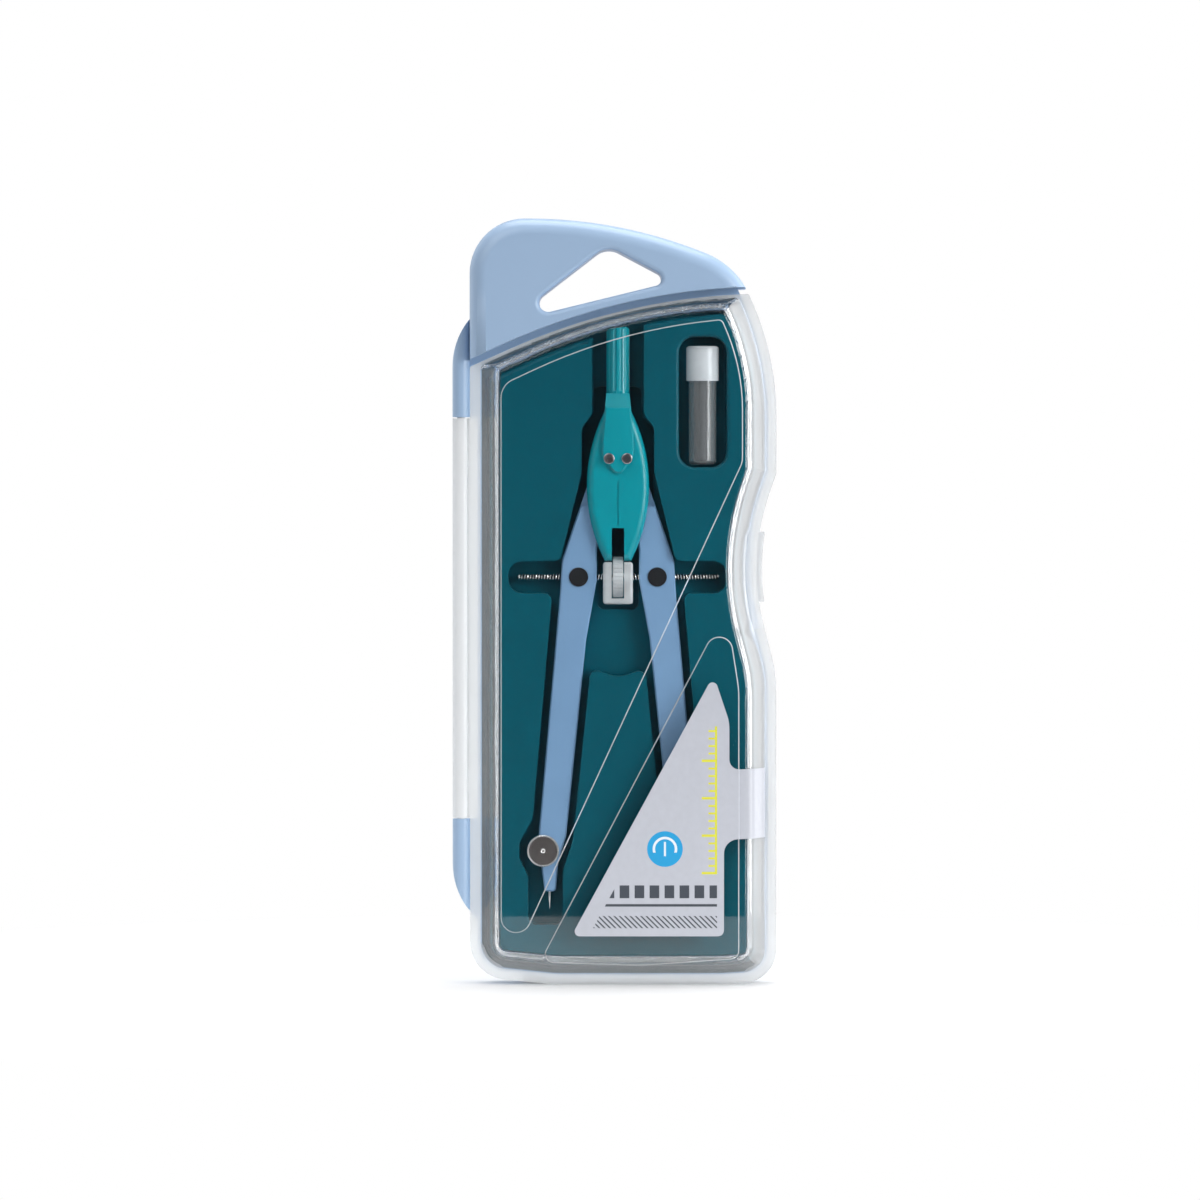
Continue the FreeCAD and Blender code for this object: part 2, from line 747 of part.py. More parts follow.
def adjuster_wheel():
    """Thumb wheel pressed on the middle of the spindle, with a grooved rim."""
    x0, x1 = axis_x - wheel_width / 2, axis_x + wheel_width / 2
    solid = rod_x(wheel_radius, x0, x1, mid_y, nut_z)
    rims = [e for e in solid.Edges if abs(e.Length - 2 * math.pi * wheel_radius) < 1e-3]
    solid = solid.makeFillet(wheel_groove * 2, rims)
    for k in range(wheel_groove_count):
        angle = 2 * math.pi * k / wheel_groove_count
        spot_y = mid_y + (wheel_radius + wheel_groove / 2) * math.cos(angle)
        spot_z = nut_z + (wheel_radius + wheel_groove / 2) * math.sin(angle)
        solid = solid.cut(rod_x(wheel_groove, x0 - 1, x1 + 1, spot_y, spot_z))
    return solid.cut(rod_x(spindle_radius, x0 - 1, x1 + 1, mid_y, nut_z))


def wheel_carrier():
    """Open block that holds the wheel between two cheeks."""
    top = head_bottom - carrier_top_gap
    bottom = nut_z - wheel_radius - swing_gap - carrier_bottom
    half = carrier_half_width
    solid = box(axis_x - half, axis_x + half, mid_y - carrier_half_depth, mid_y + carrier_half_depth, bottom, top)
    solid = solid.makeFillet(carrier_edge, solid.Edges)
    gap = wheel_width / 2 + swing_gap
    solid = solid.cut(box(axis_x - gap, axis_x + gap, mid_y - 9, mid_y + 9, bottom + carrier_bottom, top + 1))
    return solid.cut(rod_x(spindle_radius + running_gap, axis_x - 9, axis_x + 9, mid_y, nut_z))


def head_wire(depth, inset=0.0):
    """Oval outline of the head, cut off square at both ends."""
    z_top, z_low = head_top - inset, head_bottom + inset
    wide, belly = head_half_width - inset, pivot_z - head_belly_drop
    spots = []
    for side in (-1, 1):
        spots.append([Vector(axis_x + side * (head_top_half - inset / 2), depth, z_top),
                      Vector(axis_x + side * wide, depth, belly),
                      Vector(axis_x + side * (head_end_half - inset / 2), depth, z_low)])
    left, right = spots
    return Part.Wire([
        Part.Arc(left[0], left[1], left[2]).toShape(),
        Part.LineSegment(left[2], right[2]).toShape(),
        Part.Arc(right[2], right[1], right[0]).toShape(),
        Part.LineSegment(right[0], left[0]).toShape(),
    ])


def head_shell(front):
    """One of the two shells of the head, the front one or the rear one."""
    inner = mid_y - tongue_thickness / 2 - running_gap
    outer = inner - head_shell_depth
    solid = Part.Face(head_wire(outer)).extrude(Vector(0, inner - outer, 0))
    solid = solid.makeFillet(head_edge_radius, flat_edges(solid, outer))
    gap = wheel_width / 2 + swing_gap
    solid = solid.cut(box(axis_x - gap, axis_x + gap, outer - 1, inner + 1, head_bottom - 1, head_bottom + slot_height))
    seam_z = head_bottom + slot_height + seam_rise
    seam = box(axis_x - seam_width / 2, axis_x + seam_width / 2, outer - 1, outer + seam_depth, seam_z,
               seam_z + seam_length)
    solid = solid.cut(seam)
    room = prism(from_axis(leg_outline()), mid_y - leg_thickness / 2 - seat_gap, inner + 1, -leg_room)
    room = room.common(box(axis_x, case_right, outer, inner + 1, 0, pivot_z - tongue_step_drop + leg_room))
    solid = solid.cut(room).cut(mirrored(room))
    for side in (-1, 1):
        solid = solid.cut(rod_y(pivot_screw_radius + running_gap, outer - 1, inner + 1,
                                axis_x + side * pivot_half_spacing, pivot_z))
    if not front:
        solid = solid.mirror(Vector(0, mid_y, 0), Vector(0, 1, 0))
    return solid


def grip_yoke():
    """Fluted grip with a leaf-shaped cheek in front of the head and another behind it."""
    leaf = from_axis([
        (0.0, pivot_z - leaf_below_pivot, 2.2),
        (leaf_half_width, pivot_z + 0.5, 4.0),
        (leaf_half_width, pivot_z + leaf_above_pivot, 4.0),
        (grip_radius, grip_bottom, 0.0),
        (-grip_radius, grip_bottom, 0.0),
        (-leaf_half_width, pivot_z + leaf_above_pivot, 4.0),
        (-leaf_half_width, pivot_z + 0.5, 4.0),
    ])
    deep = leaf_half_depth
    solid = prism(leaf, mid_y - deep, mid_y + deep)
    rims = [e for y in (mid_y - deep, mid_y + deep) for e in flat_edges(solid, y)
            if e.BoundBox.ZMin < grip_bottom - 0.1]
    solid = solid.makeChamfer(leaf_edge, rims)
    low = head_top
    wedge = [
        Vector(axis_x - 9, mid_y - deep - 1, low), Vector(axis_x - 9, mid_y - deep, low),
        Vector(axis_x - 9, mid_y - grip_radius, grip_bottom + 0.01),
        Vector(axis_x - 9, mid_y - deep - 1, grip_bottom + 0.01),
    ]
    face = Part.Face(Part.makePolygon(wedge + wedge[:1]))
    slope = face.extrude(Vector(18, 0, 0))
    solid = solid.cut(slope).cut(slope.mirror(Vector(0, mid_y, 0), Vector(0, 1, 0)))
    rod = rod_z(grip_radius, grip_bottom, grip_top, axis_x, mid_y)
    crown = [e for e in rod.Edges if e.BoundBox.ZMin > grip_top - 1e-4]
    rod = rod.makeChamfer(grip_chamfer, crown)
    for k in range(flute_count):
        angle = 2 * math.pi * (k + 0.5) / flute_count
        x = axis_x + (grip_radius + flute_radius / 3) * math.cos(angle)
        y = mid_y + (grip_radius + flute_radius / 3) * math.sin(angle)
        rod = rod.cut(rod_z(flute_radius, grip_bottom + grip_chamfer, grip_top + 1, x, y))
    solid = solid.fuse(rod)
    gap = head_half_depth
    solid = solid.cut(box(axis_x - 9, axis_x + 9, mid_y - gap, mid_y + gap, 0, head_top + running_gap))
    for side in (-1, 1):
        x = axis_x + side * pivot_half_spacing
        solid = solid.cut(rod_y(pivot_screw_radius, mid_y - 9, mid_y + 9, x, pivot_z))
        sink = mid_y - deep - pivot_head_proud + pivot_head_height
        solid = solid.cut(rod_y(pivot_head_radius + running_gap, mid_y - 9, sink, x, pivot_z))
    return solid.removeSplitter()


def pivot_screws():
    """Two cross-recess screws that the legs turn on."""
    screws = []
    front = mid_y - leaf_half_depth - pivot_head_proud
    for side in (-1, 1):
        x = axis_x + side * pivot_half_spacing
        head = rod_y(pivot_head_radius, front, front + pivot_head_height, x, pivot_z)
        rims = [e for e in flat_edges(head, front)]
        head = head.makeFillet(recess_depth / 2, rims)
        half, arm = recess_width / 2, recess_length / 2
        head = head.cut(box(x - half, x + half, front - 1, front + recess_depth, pivot_z - arm, pivot_z + arm))
        head = head.cut(box(x - arm, x + arm, front - 1, front + recess_depth, pivot_z - half, pivot_z + half))
        shank = rod_y(pivot_screw_radius, front + pivot_head_height, mid_y + leaf_half_depth - 0.1, x, pivot_z)
        screws.append(head.fuse(shank).removeSplitter())
    return Part.makeCompound(screws)


def vial_x():
    """Middle of the vial."""
    return axis_x + vial_offset


def lead_vial():
    """Clear tube with a closed round bottom."""
    tube = rod_z(vial_radius, vial_bottom, vial_bottom + vial_length, vial_x(), mid_y)
    tube = tube.makeFillet(1.2, [e for e in tube.Edges if e.BoundBox.ZMax < vial_bottom + 1e-4])
    hollow = rod_z(vial_radius - vial_wall, vial_bottom + vial_wall * 1.5, vial_bottom + vial_length + 1,
                   vial_x(), mid_y)
    return tube.cut(hollow)


def vial_cap():
    """Push-on cap of the vial."""
    low = vial_bottom + vial_length - cap_grip
    cap = rod_z(cap_radius, low, low + cap_height, vial_x(), mid_y)
    cap = cap.makeFillet(0.8, [e for e in cap.Edges if e.BoundBox.ZMin > low + cap_height - 1e-4])
    socket = rod_z(vial_radius, low - 1, low + cap_grip, vial_x(), mid_y)
    room = rod_z(vial_radius - vial_wall, low, low + cap_height - cap_top, vial_x(), mid_y)
    return cap.cut(socket).cut(room)


def spare_leads():
    """Spare leads standing in the vial."""
    floor = vial_bottom + vial_wall * 1.5
    leads = []
    for k in range(spare_count):
        angle = 2 * math.pi * (k + 0.25) / spare_count
        x = vial_x() + spare_circle * math.cos(angle)
        y = mid_y + spare_circle * math.sin(angle)
        leads.append(rod_z(spare_radius, floor, floor + spare_length, x, y))
    return Part.makeCompound(leads)


def channel_half():
    """Right half of the compass pocket from its top to its bottom, widths from the compass axis."""
    outline = leg_outline()
    outer_low, outer_knee = outline[3], outline[4]
    inner_knee, inner_low = outline[10], outline[11]
    screw_side = clamp_u + clamp_head_radius + screw_pocket_gap
    out, back = channel_outer_gap, channel_inner_gap
    slot_high, slot_low = nut_z + spindle_pocket_half, nut_z - spindle_pocket_half
    end = spindle_half + slot_end_gap
    low = tip_height - needle_pocket_drop
    point_u = (needle_u + lead_u) / 2
    return [
        (grip_pocket_half, grip_top + 2.4, 2.0),
        (grip_pocket_half, head_top - 2.0, 3.0),
        (head_pocket_half, head_top - 5.2, 3.0),
        (head_pocket_half, pivot_z - 4.0, 6.0),
        (knee_pocket_u, slot_high, 2.0),
        (end, slot_high, spindle_pocket_half * 0.9),
        (end, slot_low, spindle_pocket_half * 0.9),
        (outer_knee[0] + out, slot_low, 2.0),
        (outer_low[0] + out - 0.6, clamp_z + clamp_head_radius + 4.5, 4.0),
        (screw_side, clamp_z + 2.2, 4.0),
        (screw_side, clamp_z - 2.2, 4.0),
        (point_u + needle_pocket_half + 2.6, clamp_z - clamp_head_radius - 2.6, 3.0),
        (point_u + needle_pocket_half + 2.6, low, 2.4),
        (point_u - needle_pocket_half, low, 2.4),
        (point_u - needle_pocket_half, clamp_z - clamp_head_radius - 1.0, 4.0),
        (inner_low[0] - back - 0.6, inner_low[1] - 1.0, 6.0),
        (inner_knee[0] - back, nut_z - wheel_pocket_bottom + 1.2, 2.4),
    ]


def compass_pocket():
    """Whole outline of the compass pocket, anticlockwise."""
    half = channel_half()
    right = [(x, z, r) for x, z, r in half]
    left = [(-x, z, r) for x, z, r in half]
    bottom = [(0.0, nut_z - wheel_pocket_bottom - wheel_pocket_round * 0.5, 14.0)]
    return from_axis(left + bottom + right[::-1])


def insert_tray():
    """Moulded tray: a land with pockets, a ledge round it and a skirt down to the floor of the base."""
    floor = back_y - base_floor
    ledge_front = floor - ledge_height
    rim = lid_insets(rim_overhang + base_wall + tray_gap, base_wall + tray_gap)
    rim_inner = [inset + tray_wall for inset in rim]
    round_off = land_edge * corner_ease
    land = prism(lid_corners, land_y, ledge_front + tray_wall, land_inset, round_off)
    land = land.makeFillet(land_edge, flat_edges(land, land_y))
    core = prism(lid_corners, land_y + tray_wall, floor, land_inset + tray_wall, round_off - tray_wall)
    ledge = prism(lid_corners, ledge_front, floor, rim)
    ledge = ledge.cut(prism(lid_corners, ledge_front + tray_wall, floor + 1, rim_inner))
    solid = land.fuse(ledge).cut(core)
    room = clear_pockets()
    tubs = room[0][0].fuse([shape for shape, _ in room[1:]])
    walls = [shape for _, shape in room]
    cups = walls[0].fuse(walls[1:])
    cups = cups.common(prism(lid_corners, land_y, floor, land_inset + tray_wall / 2))
    solid = solid.fuse(cups).cut(tubs).removeSplitter()
    top = [f for f in solid.Faces if f.BoundBox.YMax < land_y + 1e-4]
    rims = [e for f in top for w in f.Wires if not w.isSame(f.OuterWire) for e in w.Edges]
    return solid.makeFillet(pocket_edge, rims)


def clear_pockets():
    """Each pocket of the tray as the room in it and the block of wall round it."""
    leg_floor = leg_back + seat_gap
    head_floor = mid_y + leaf_half_depth + seat_gap
    grip_floor = mid_y + grip_radius + seat_gap
    carrier_floor = mid_y + wheel_radius + seat_gap * 2
    vial_floor = mid_y + cap_radius + seat_gap
    gap, t = pocket_gap, tray_wall
    outline = compass_pocket()
    head = from_axis([
        (-head_half_width - gap + 0.2, nut_z + spindle_pocket_half, 3.0),
        (head_half_width + gap - 0.2, nut_z + spindle_pocket_half, 3.0),
        (head_half_width + gap - 0.2, head_top - 5.5, 3.0),
        (grip_pocket_half - 0.6, head_top - 2.3, 3.0),
        (grip_pocket_half - 0.6, grip_bottom + 2.0, 2.0),
        (-grip_pocket_half + 0.6, grip_bottom + 2.0, 2.0),
        (-grip_pocket_half + 0.6, head_top - 2.3, 3.0),
        (-head_half_width - gap + 0.2, head_top - 5.5, 3.0),
    ])
    block = from_axis([
        (-carrier_half_width - gap, nut_z - wheel_radius - carrier_bottom - gap - swing_gap, 2.0),
        (carrier_half_width + gap, nut_z - wheel_radius - carrier_bottom - gap - swing_gap, 2.0),
        (carrier_half_width + gap, nut_z + spindle_pocket_half + 1.0, 1.0),
        (-carrier_half_width - gap, nut_z + spindle_pocket_half + 1.0, 1.0),
    ])
    vial = from_axis([
        (vial_offset - vial_pocket_half, vial_bottom - vial_pocket_end * 0.3, vial_pocket_round),
        (vial_offset + vial_pocket_half, vial_bottom - vial_pocket_end * 0.3, vial_pocket_round),
        (vial_offset + vial_pocket_half, vial_bottom + vial_length - cap_grip + cap_height + vial_pocket_end,
         vial_pocket_round),
        (vial_offset - vial_pocket_half, vial_bottom + vial_length - cap_grip + cap_height + vial_pocket_end,
         vial_pocket_round),
    ])
    rooms = []
    for corners, floor in ((outline, leg_floor), (head, head_floor), (block, carrier_floor), (vial, vial_floor)):
        rooms.append((prism(corners, land_y - 1, floor), prism(corners, land_y, floor + t, -t)))
    deep = box(axis_x - grip_pocket_half + 0.6, axis_x + grip_pocket_half - 0.6, land_y - 1, grip_floor,
               grip_bottom - 3, grip_top + 1.8)
    wall = box(axis_x - grip_pocket_half + 0.6 - t, axis_x + grip_pocket_half - 0.6 + t, land_y, grip_floor + t,
               grip_bottom - 3, grip_top + 1.8 + t)
    rooms.append((deep, wall))
    return rooms


def main():
    """Build every piece and write it to its file."""
    os.makedirs("parts", exist_ok=True)
    save("base_shell", base_shell())
    save("lid", lid())
    save("lid_label", lid_label())
    save("insert_tray", insert_tray())
    save("grip_yoke", grip_yoke())
    save("head_front_shell", head_shell(True))
    save("head_rear_shell", head_shell(False))
    save("pivot_screws", pivot_screws())
    save("left_leg", left_leg())
    save("right_leg", right_leg())
    nut = spindle_nut()
    save("right_nut", nut)
    save("left_nut", mirrored(nut))
    save("spindle", rod_x(spindle_radius, axis_x - spindle_half, axis_x + spindle_half, mid_y, nut_z))
    save("adjuster_wheel", adjuster_wheel())
    save("wheel_carrier", wheel_carrier())
    screw = clamp_screw()
    save("lead_clamp_screw", screw)
    save("needle_clamp_screw", mirrored(screw))
    save("needle", pointed_rod(needle_radius, needle_point, needle_taper, leg_bottom + needle_in, axis_x - needle_u))
    save("compass_lead", pointed_rod(lead_radius, lead_point, lead_taper, leg_bottom + lead_in, axis_x + lead_u))
    save("lead_vial", lead_vial())
    save("vial_cap", vial_cap())
    save("spare_leads", spare_leads())


main()
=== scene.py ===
"""Looks of a hinged drafting case: a clear lid over a bow compass and a vial of leads in a teal tray."""
import logging
import math
from dataclasses import dataclass, field
from enum import Enum, IntEnum
from typing import Any, Dict, List, Optional, Tuple, Union

import bmesh
import bpy
from bpy.types import Material, Node, NodeSocket, NodeTree, Object
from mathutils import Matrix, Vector


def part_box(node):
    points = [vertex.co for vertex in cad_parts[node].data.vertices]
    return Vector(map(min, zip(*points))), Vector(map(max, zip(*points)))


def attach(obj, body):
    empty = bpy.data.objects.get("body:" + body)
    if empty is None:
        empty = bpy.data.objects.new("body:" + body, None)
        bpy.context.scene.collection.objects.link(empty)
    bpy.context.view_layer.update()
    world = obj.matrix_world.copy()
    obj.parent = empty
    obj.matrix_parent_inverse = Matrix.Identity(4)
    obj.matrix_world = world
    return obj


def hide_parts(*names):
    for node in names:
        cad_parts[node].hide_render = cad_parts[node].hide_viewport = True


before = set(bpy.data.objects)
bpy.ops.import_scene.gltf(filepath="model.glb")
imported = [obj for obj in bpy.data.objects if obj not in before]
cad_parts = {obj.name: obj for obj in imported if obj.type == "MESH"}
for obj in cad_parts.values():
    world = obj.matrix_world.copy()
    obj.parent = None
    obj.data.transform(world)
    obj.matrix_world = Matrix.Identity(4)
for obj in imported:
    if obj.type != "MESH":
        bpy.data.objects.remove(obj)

LOG = logging.getLogger("case")
Colour = Tuple[float, float, float]
Point = Tuple[float, float]
Place = Tuple[float, float, float]
Value = Union["Sock", float]
Paint = Union["Sock", Colour]

# Metres in a millimetre
MM = 0.001
# Face attribute for the share of opaque milky white in clear plastic: painted sheen and reflection on the
# lid, an even milkiness on the vial
MILK_AND_SHEEN = "pale"
# Noise values between which one colour turns into the other
PATCHY: Point = (0.3, 0.7)
WHITE: Colour = (1.0, 1.0, 1.0)


class Slot(Enum):
    """Material slots of the record."""

    CASE = "case_blue"
    LID = "lid_clear"
    LABEL = "label_silver"
    TRAY = "tray_teal"
    HEAD = "head_teal"
    SCREW = "screw_dark"
    LEG = "leg_blue"
    NUT = "nut_black"
    SPINDLE = "spindle_steel"
    FROSTED = "frosted_plastic"
    BRIGHT = "bright_steel"
    NEEDLE = "needle_steel"
    LEAD = "lead_graphite"
    VIAL = "vial_clear"


class Body(Enum):
    """Rigid bodies of the record."""

    CASE = "case"
    LID = "lid"
    CARRIER = "carrier"
    SPINDLE = "spindle"
    LEFT_LEG = "left_leg"
    RIGHT_LEG = "right_leg"
    LEFT_NUT = "left_nut"
    RIGHT_NUT = "right_nut"
    NEEDLE_SCREW = "needle_screw"
    LEAD_SCREW = "lead_screw"
    NEEDLE = "needle"
    LEAD = "lead"


class MixSocket(IntEnum):
    """Numbers of the Mix node's sockets for colours."""

    FACTOR = 0
    FIRST = 6
    SECOND = 7
    RESULT = 2


def rgba(value: Any) -> Any:
    """A colour with its opacity added, and any other value as it is."""
    return (*value, 1.0) if isinstance(value, tuple) and len(value) == 3 else value


def shaded(colour: Colour, share: float) -> Colour:
    """A colour at a share of its brightness."""
    return tuple(c * share for c in colour)


class Sock:
    """A node's output that takes part in arithmetic."""

    def __init__(self, graph: "Graph", socket: NodeSocket) -> None:
        """Hold an output socket of a graph."""
        self.graph = graph
        self.socket = socket

    def __add__(self, other: Value) -> "Sock":
        """Sum."""
        return self.graph.maths("ADD", self, other)

    def __radd__(self, other: float) -> "Sock":
        """Sum with a number first."""
        return self.graph.maths("ADD", other, self)

    def __sub__(self, other: Value) -> "Sock":
        """Difference."""
        return self.graph.maths("SUBTRACT", self, other)

    def __rsub__(self, other: float) -> "Sock":
        """Difference from a number."""
        return self.graph.maths("SUBTRACT", other, self)

    def __mul__(self, other: Value) -> "Sock":
        """Product."""
        return self.graph.maths("MULTIPLY", self, other)

    def __rmul__(self, other: float) -> "Sock":
        """Product with a number first."""
        return self.graph.maths("MULTIPLY", other, self)

    def __truediv__(self, other: Value) -> "Sock":
        """Quotient."""
        return self.graph.maths("DIVIDE", self, other)

    def __rtruediv__(self, other: float) -> "Sock":
        """Quotient of a number."""
        return self.graph.maths("DIVIDE", other, self)

    def __lt__(self, other: Value) -> "Sock":
        """One where this is the smaller."""
        return self.graph.maths("LESS_THAN", self, other)

    def __gt__(self, other: Value) -> "Sock":
        """One where this is the larger."""
        return self.graph.maths("GREATER_THAN", self, other)

    def most(self, other: Value) -> "Sock":
        """Larger of two values."""
        return self.graph.maths("MAXIMUM", self, other)

    def size(self) -> "Sock":
        """Value without its sign."""
        return self.graph.maths("ABSOLUTE", self)

    def wrapped(self, step: float) -> "Sock":
        """Distance into a repeat of the given length."""
        return self.graph.maths("FLOORED_MODULO", self, step)

    def ramp(self, low: float, high: float) -> "Sock":
        """Even change from 0 at one value to 1 at another, with no change beyond them.

        Args:
            low: the value that gives 0.
            high: the value that gives 1.

        Returns:
            The change.
        """
        limits = {"Value": self, "From Min": low, "From Max": high}
        return self.graph.out(self.graph.node("ShaderNodeMapRange", {"clamp": True}, limits), "Result")


class Graph:
    """Nodes of a material, the world or a geometry tree."""

    def __init__(self, tree: NodeTree) -> None:
        """Empty a tree and hold it."""
        self.tree = tree
        self.tree.nodes.clear()

    def node(self, kind: str, settings: Optional[Dict[str, Any]] = None,
             values: Optional[Dict[Any, Any]] = None) -> Node:
        """Add a node.

        Args:
            kind: the node's type.
            settings: properties of the node.
            values: socket name or number to a value or a Sock.

        Returns:
            The node.
        """
        made = self.tree.nodes.new(kind)
        for key, value in (settings or {}).items():
            setattr(made, key, value)
        for key, value in (values or {}).items():
            if isinstance(value, Sock):
                self.tree.links.new(value.socket, made.inputs[key])
            else:
                made.inputs[key].default_value = value
        return made

    def out(self, node: Node, key: Any = 0) -> Sock:
        """Output of a node as a Sock."""
        return Sock(self, node.outputs[key])

    def maths(self, operation: str, *values: Value) -> Sock:
        """Add a maths node and return its result."""
        return self.out(self.node("ShaderNodeMath", {"operation": operation}, dict(enumerate(values))))

    def reach(self, first: Sock, second: Sock) -> Sock:
        """Distance that has the two values as its sides."""
        return self.maths("SQRT", first * first + second * second)

    def mix(self, factor: Sock, first: Paint, second: Paint) -> Sock:
        """Colour between two colours.

        Args:
            factor: 0 for the first and 1 for the second.
            first: a colour.
            second: another colour.

        Returns:
            The mixed colour.
        """
        values = {MixSocket.FACTOR: factor, MixSocket.FIRST: rgba(first), MixSocket.SECOND: rgba(second)}
        return self.out(self.node("ShaderNodeMix", {"data_type": "RGBA"}, values), MixSocket.RESULT)

    def blend(self, share: Sock, first: Sock, second: Sock) -> Sock:
        """Shader between two shaders."""
        return self.out(self.node("ShaderNodeMixShader", None, {0: share, 1: first, 2: second}))


class Surface(Graph):
    """Nodes of one material."""

    def __init__(self, name: str) -> None:
        """Start an empty material.

        Args:
            name: the material's name.
        """
        self.material = bpy.data.materials.new(name)
        self.material.use_nodes = True
        super().__init__(self.material.node_tree)
        self.place = self.out(self.node("ShaderNodeTexCoord"), "Object")

    def axes(self) -> Tuple[Sock, Sock, Sock]:
        """X, Y and Z of the object coordinates in millimetres."""
        split = self.node("ShaderNodeSeparateXYZ", None, {0: self.place})
        return tuple(self.out(split, k) / MM for k in range(3))

    def noise(self, per_mm: float, detail: float = 2.0) -> Sock:
        """Even noise.

        Args:
            per_mm: about how many spots fall on one millimetre.
            detail: levels of finer noise.

        Returns:
            A value from 0 to 1.
        """
        values = {"Vector": self.place, "Scale": per_mm / MM, "Detail": detail}
        return self.out(self.node("ShaderNodeTexNoise", None, values), "Fac")

    def bump(self, height: Sock, depth_mm: float, strength: float) -> Sock:
        """Normal of a surface with relief.

        Args:
            height: relief from 0 to 1.
            depth_mm: the relief's depth in millimetres.
            strength: how much of it shows.

        Returns:
            The normal.
        """
        values = {"Strength": strength, "Distance": depth_mm * MM, "Height": height}
        return self.out(self.node("ShaderNodeBump", None, values), "Normal")

    def principled(self, values: Dict[str, Any]) -> Sock:
        """Principled shader with the given socket values."""
        fixed = {key: rgba(value) for key, value in values.items()}
        return self.out(self.node("ShaderNodeBsdfPrincipled", None, fixed), "BSDF")

    def clear_to_lamps(self, shader: Sock, tint: Colour) -> Sock:
        """Shader that lets lamp light straight through.

        Args:
            shader: what the eye sees.
            tint: colour of the light that passes.

        Returns:
            The mixed shader.
        """
        shadow = self.out(self.node("ShaderNodeLightPath"), "Is Shadow Ray")
        open_way = self.out(self.node("ShaderNodeBsdfTransparent", None, {"Color": rgba(tint)}))
        return self.blend(shadow, shader, open_way)

    def finish(self, shader: Sock) -> Material:
        """Connect the shader to the output and return the material."""
        self.node("ShaderNodeOutputMaterial", None, {"Surface": shader})
        return self.material


@dataclass(frozen=True)
class MouldedPlastic:
    """Opaque moulded plastic, a little uneven in colour and gloss."""

    name: str
    colour: Colour
    shade: Colour
    roughness: float
    shine: float = 0.5
    flow_per_mm: float = 0.035
    wear_per_mm: float = 0.1
    wear: float = 0.02

    def make(self) -> Material:
        """Build the material.

        Returns:
            The material.
        """
        nodes = Surface(self.name)
        flow = nodes.noise(self.flow_per_mm, detail=3.0).ramp(*PATCHY)
        return nodes.finish(nodes.principled({
            "Base Color": nodes.mix(flow, self.colour, self.shade),
            "Roughness": self.roughness + self.wear * (nodes.noise(self.wear_per_mm) - 0.5),
            "Specular IOR Level": self.shine,
        }))


@dataclass(frozen=True)
class ClearPlastic:
    """Polished see-through plastic with faint rubbing marks, mixed with opaque milky white by a face share:
    painted sheen and reflection on the lid, an even milkiness on the vial.
    """

    name: str
    colour: Colour
    roughness: float
    ior: float = 1.49
    lamp_tint: Colour = (0.92, 0.94, 0.95)
    milk: Colour = (0.8, 0.81, 0.82)
    milk_roughness: float = 0.3
    milk_grain: float = 0.1
    rub_per_mm: float = 0.12
    rub_limits: Point = (0.35, 0.75)
    rub: float = 0.02

    def make(self) -> Material:
        """Build the material.

        Returns:
            The material.
        """
        nodes = Surface(self.name)
        rub = nodes.noise(self.rub_per_mm, detail=4.0).ramp(*self.rub_limits)
        clear = nodes.principled({
            "Base Color": self.colour,
            "Roughness": self.roughness + self.rub * rub,
            "IOR": self.ior,
            "Transmission Weight": 1.0,
        })
        # Opaque milky white: painted sheen and reflection on the lid's marked faces, an even milkiness on
        # the vial
        milky_sheen = nodes.principled({
            "Base Color": self.milk,
            "Roughness": self.milk_roughness + self.milk_grain * rub,
        })
        # Share of milky white per face; on the lid it is painted sheen and reflection
        share = nodes.out(nodes.node("ShaderNodeAttribute", {"attribute_name": MILK_AND_SHEEN}), "Fac")
        return nodes.finish(nodes.clear_to_lamps(nodes.blend(share, clear, milky_sheen), self.lamp_tint))


@dataclass(frozen=True)
class FrostedPlastic:
    """Milky plastic that light soaks into."""

    name: str
    colour: Colour
    roughness: float
    through: float
    ior: float = 1.46
    lamp_tint: Colour = (0.7, 0.74, 0.75)
    cloud_per_mm: float = 0.6
    cloud_shade: float = 0.93
    grain_per_mm: float = 2.0
    grain: float = 0.1

    def make(self) -> Material:
        """Build the material.

        Returns:
            The material.
        """
        nodes = Surface(self.name)
        cloud = nodes.noise(self.cloud_per_mm, detail=3.0).ramp(*PATCHY)
        shader = nodes.principled({
            "Base Color": nodes.mix(cloud, self.colour, shaded(self.colour, self.cloud_shade)),
            "Roughness": self.roughness + self.grain * nodes.noise(self.grain_per_mm),
            "IOR": self.ior,
            "Transmission Weight": self.through,
        })
        return nodes.finish(nodes.clear_to_lamps(shader, self.lamp_tint))


@dataclass(frozen=True)
class Metal:
    """Bare or plated metal with fine turning marks."""

    name: str
    colour: Colour
    roughness: float
    marks: float = 0.1
    marks_per_mm: float = 6.0
    marks_depth_mm: float = 0.01
    marks_strength: float = 0.2
    cloud_per_mm: float = 0.5
    cloud_shade: float = 0.82

    def make(self) -> Material:
        """Build the material.

        Returns:
            The material.
        """
        nodes = Surface(self.name)
        fine = nodes.noise(self.marks_per_mm, detail=3.0)
        cloud = nodes.noise(self.cloud_per_mm, detail=3.0)
        return nodes.finish(nodes.principled({
            "Base Color": nodes.mix(cloud, self.colour, shaded(self.colour, self.cloud_shade)),
            "Metallic": 1.0,
            "Roughness": self.roughness + self.marks * (fine - 0.5),
            "Normal": nodes.bump(fine, self.marks_depth_mm, self.marks_strength),
        }))


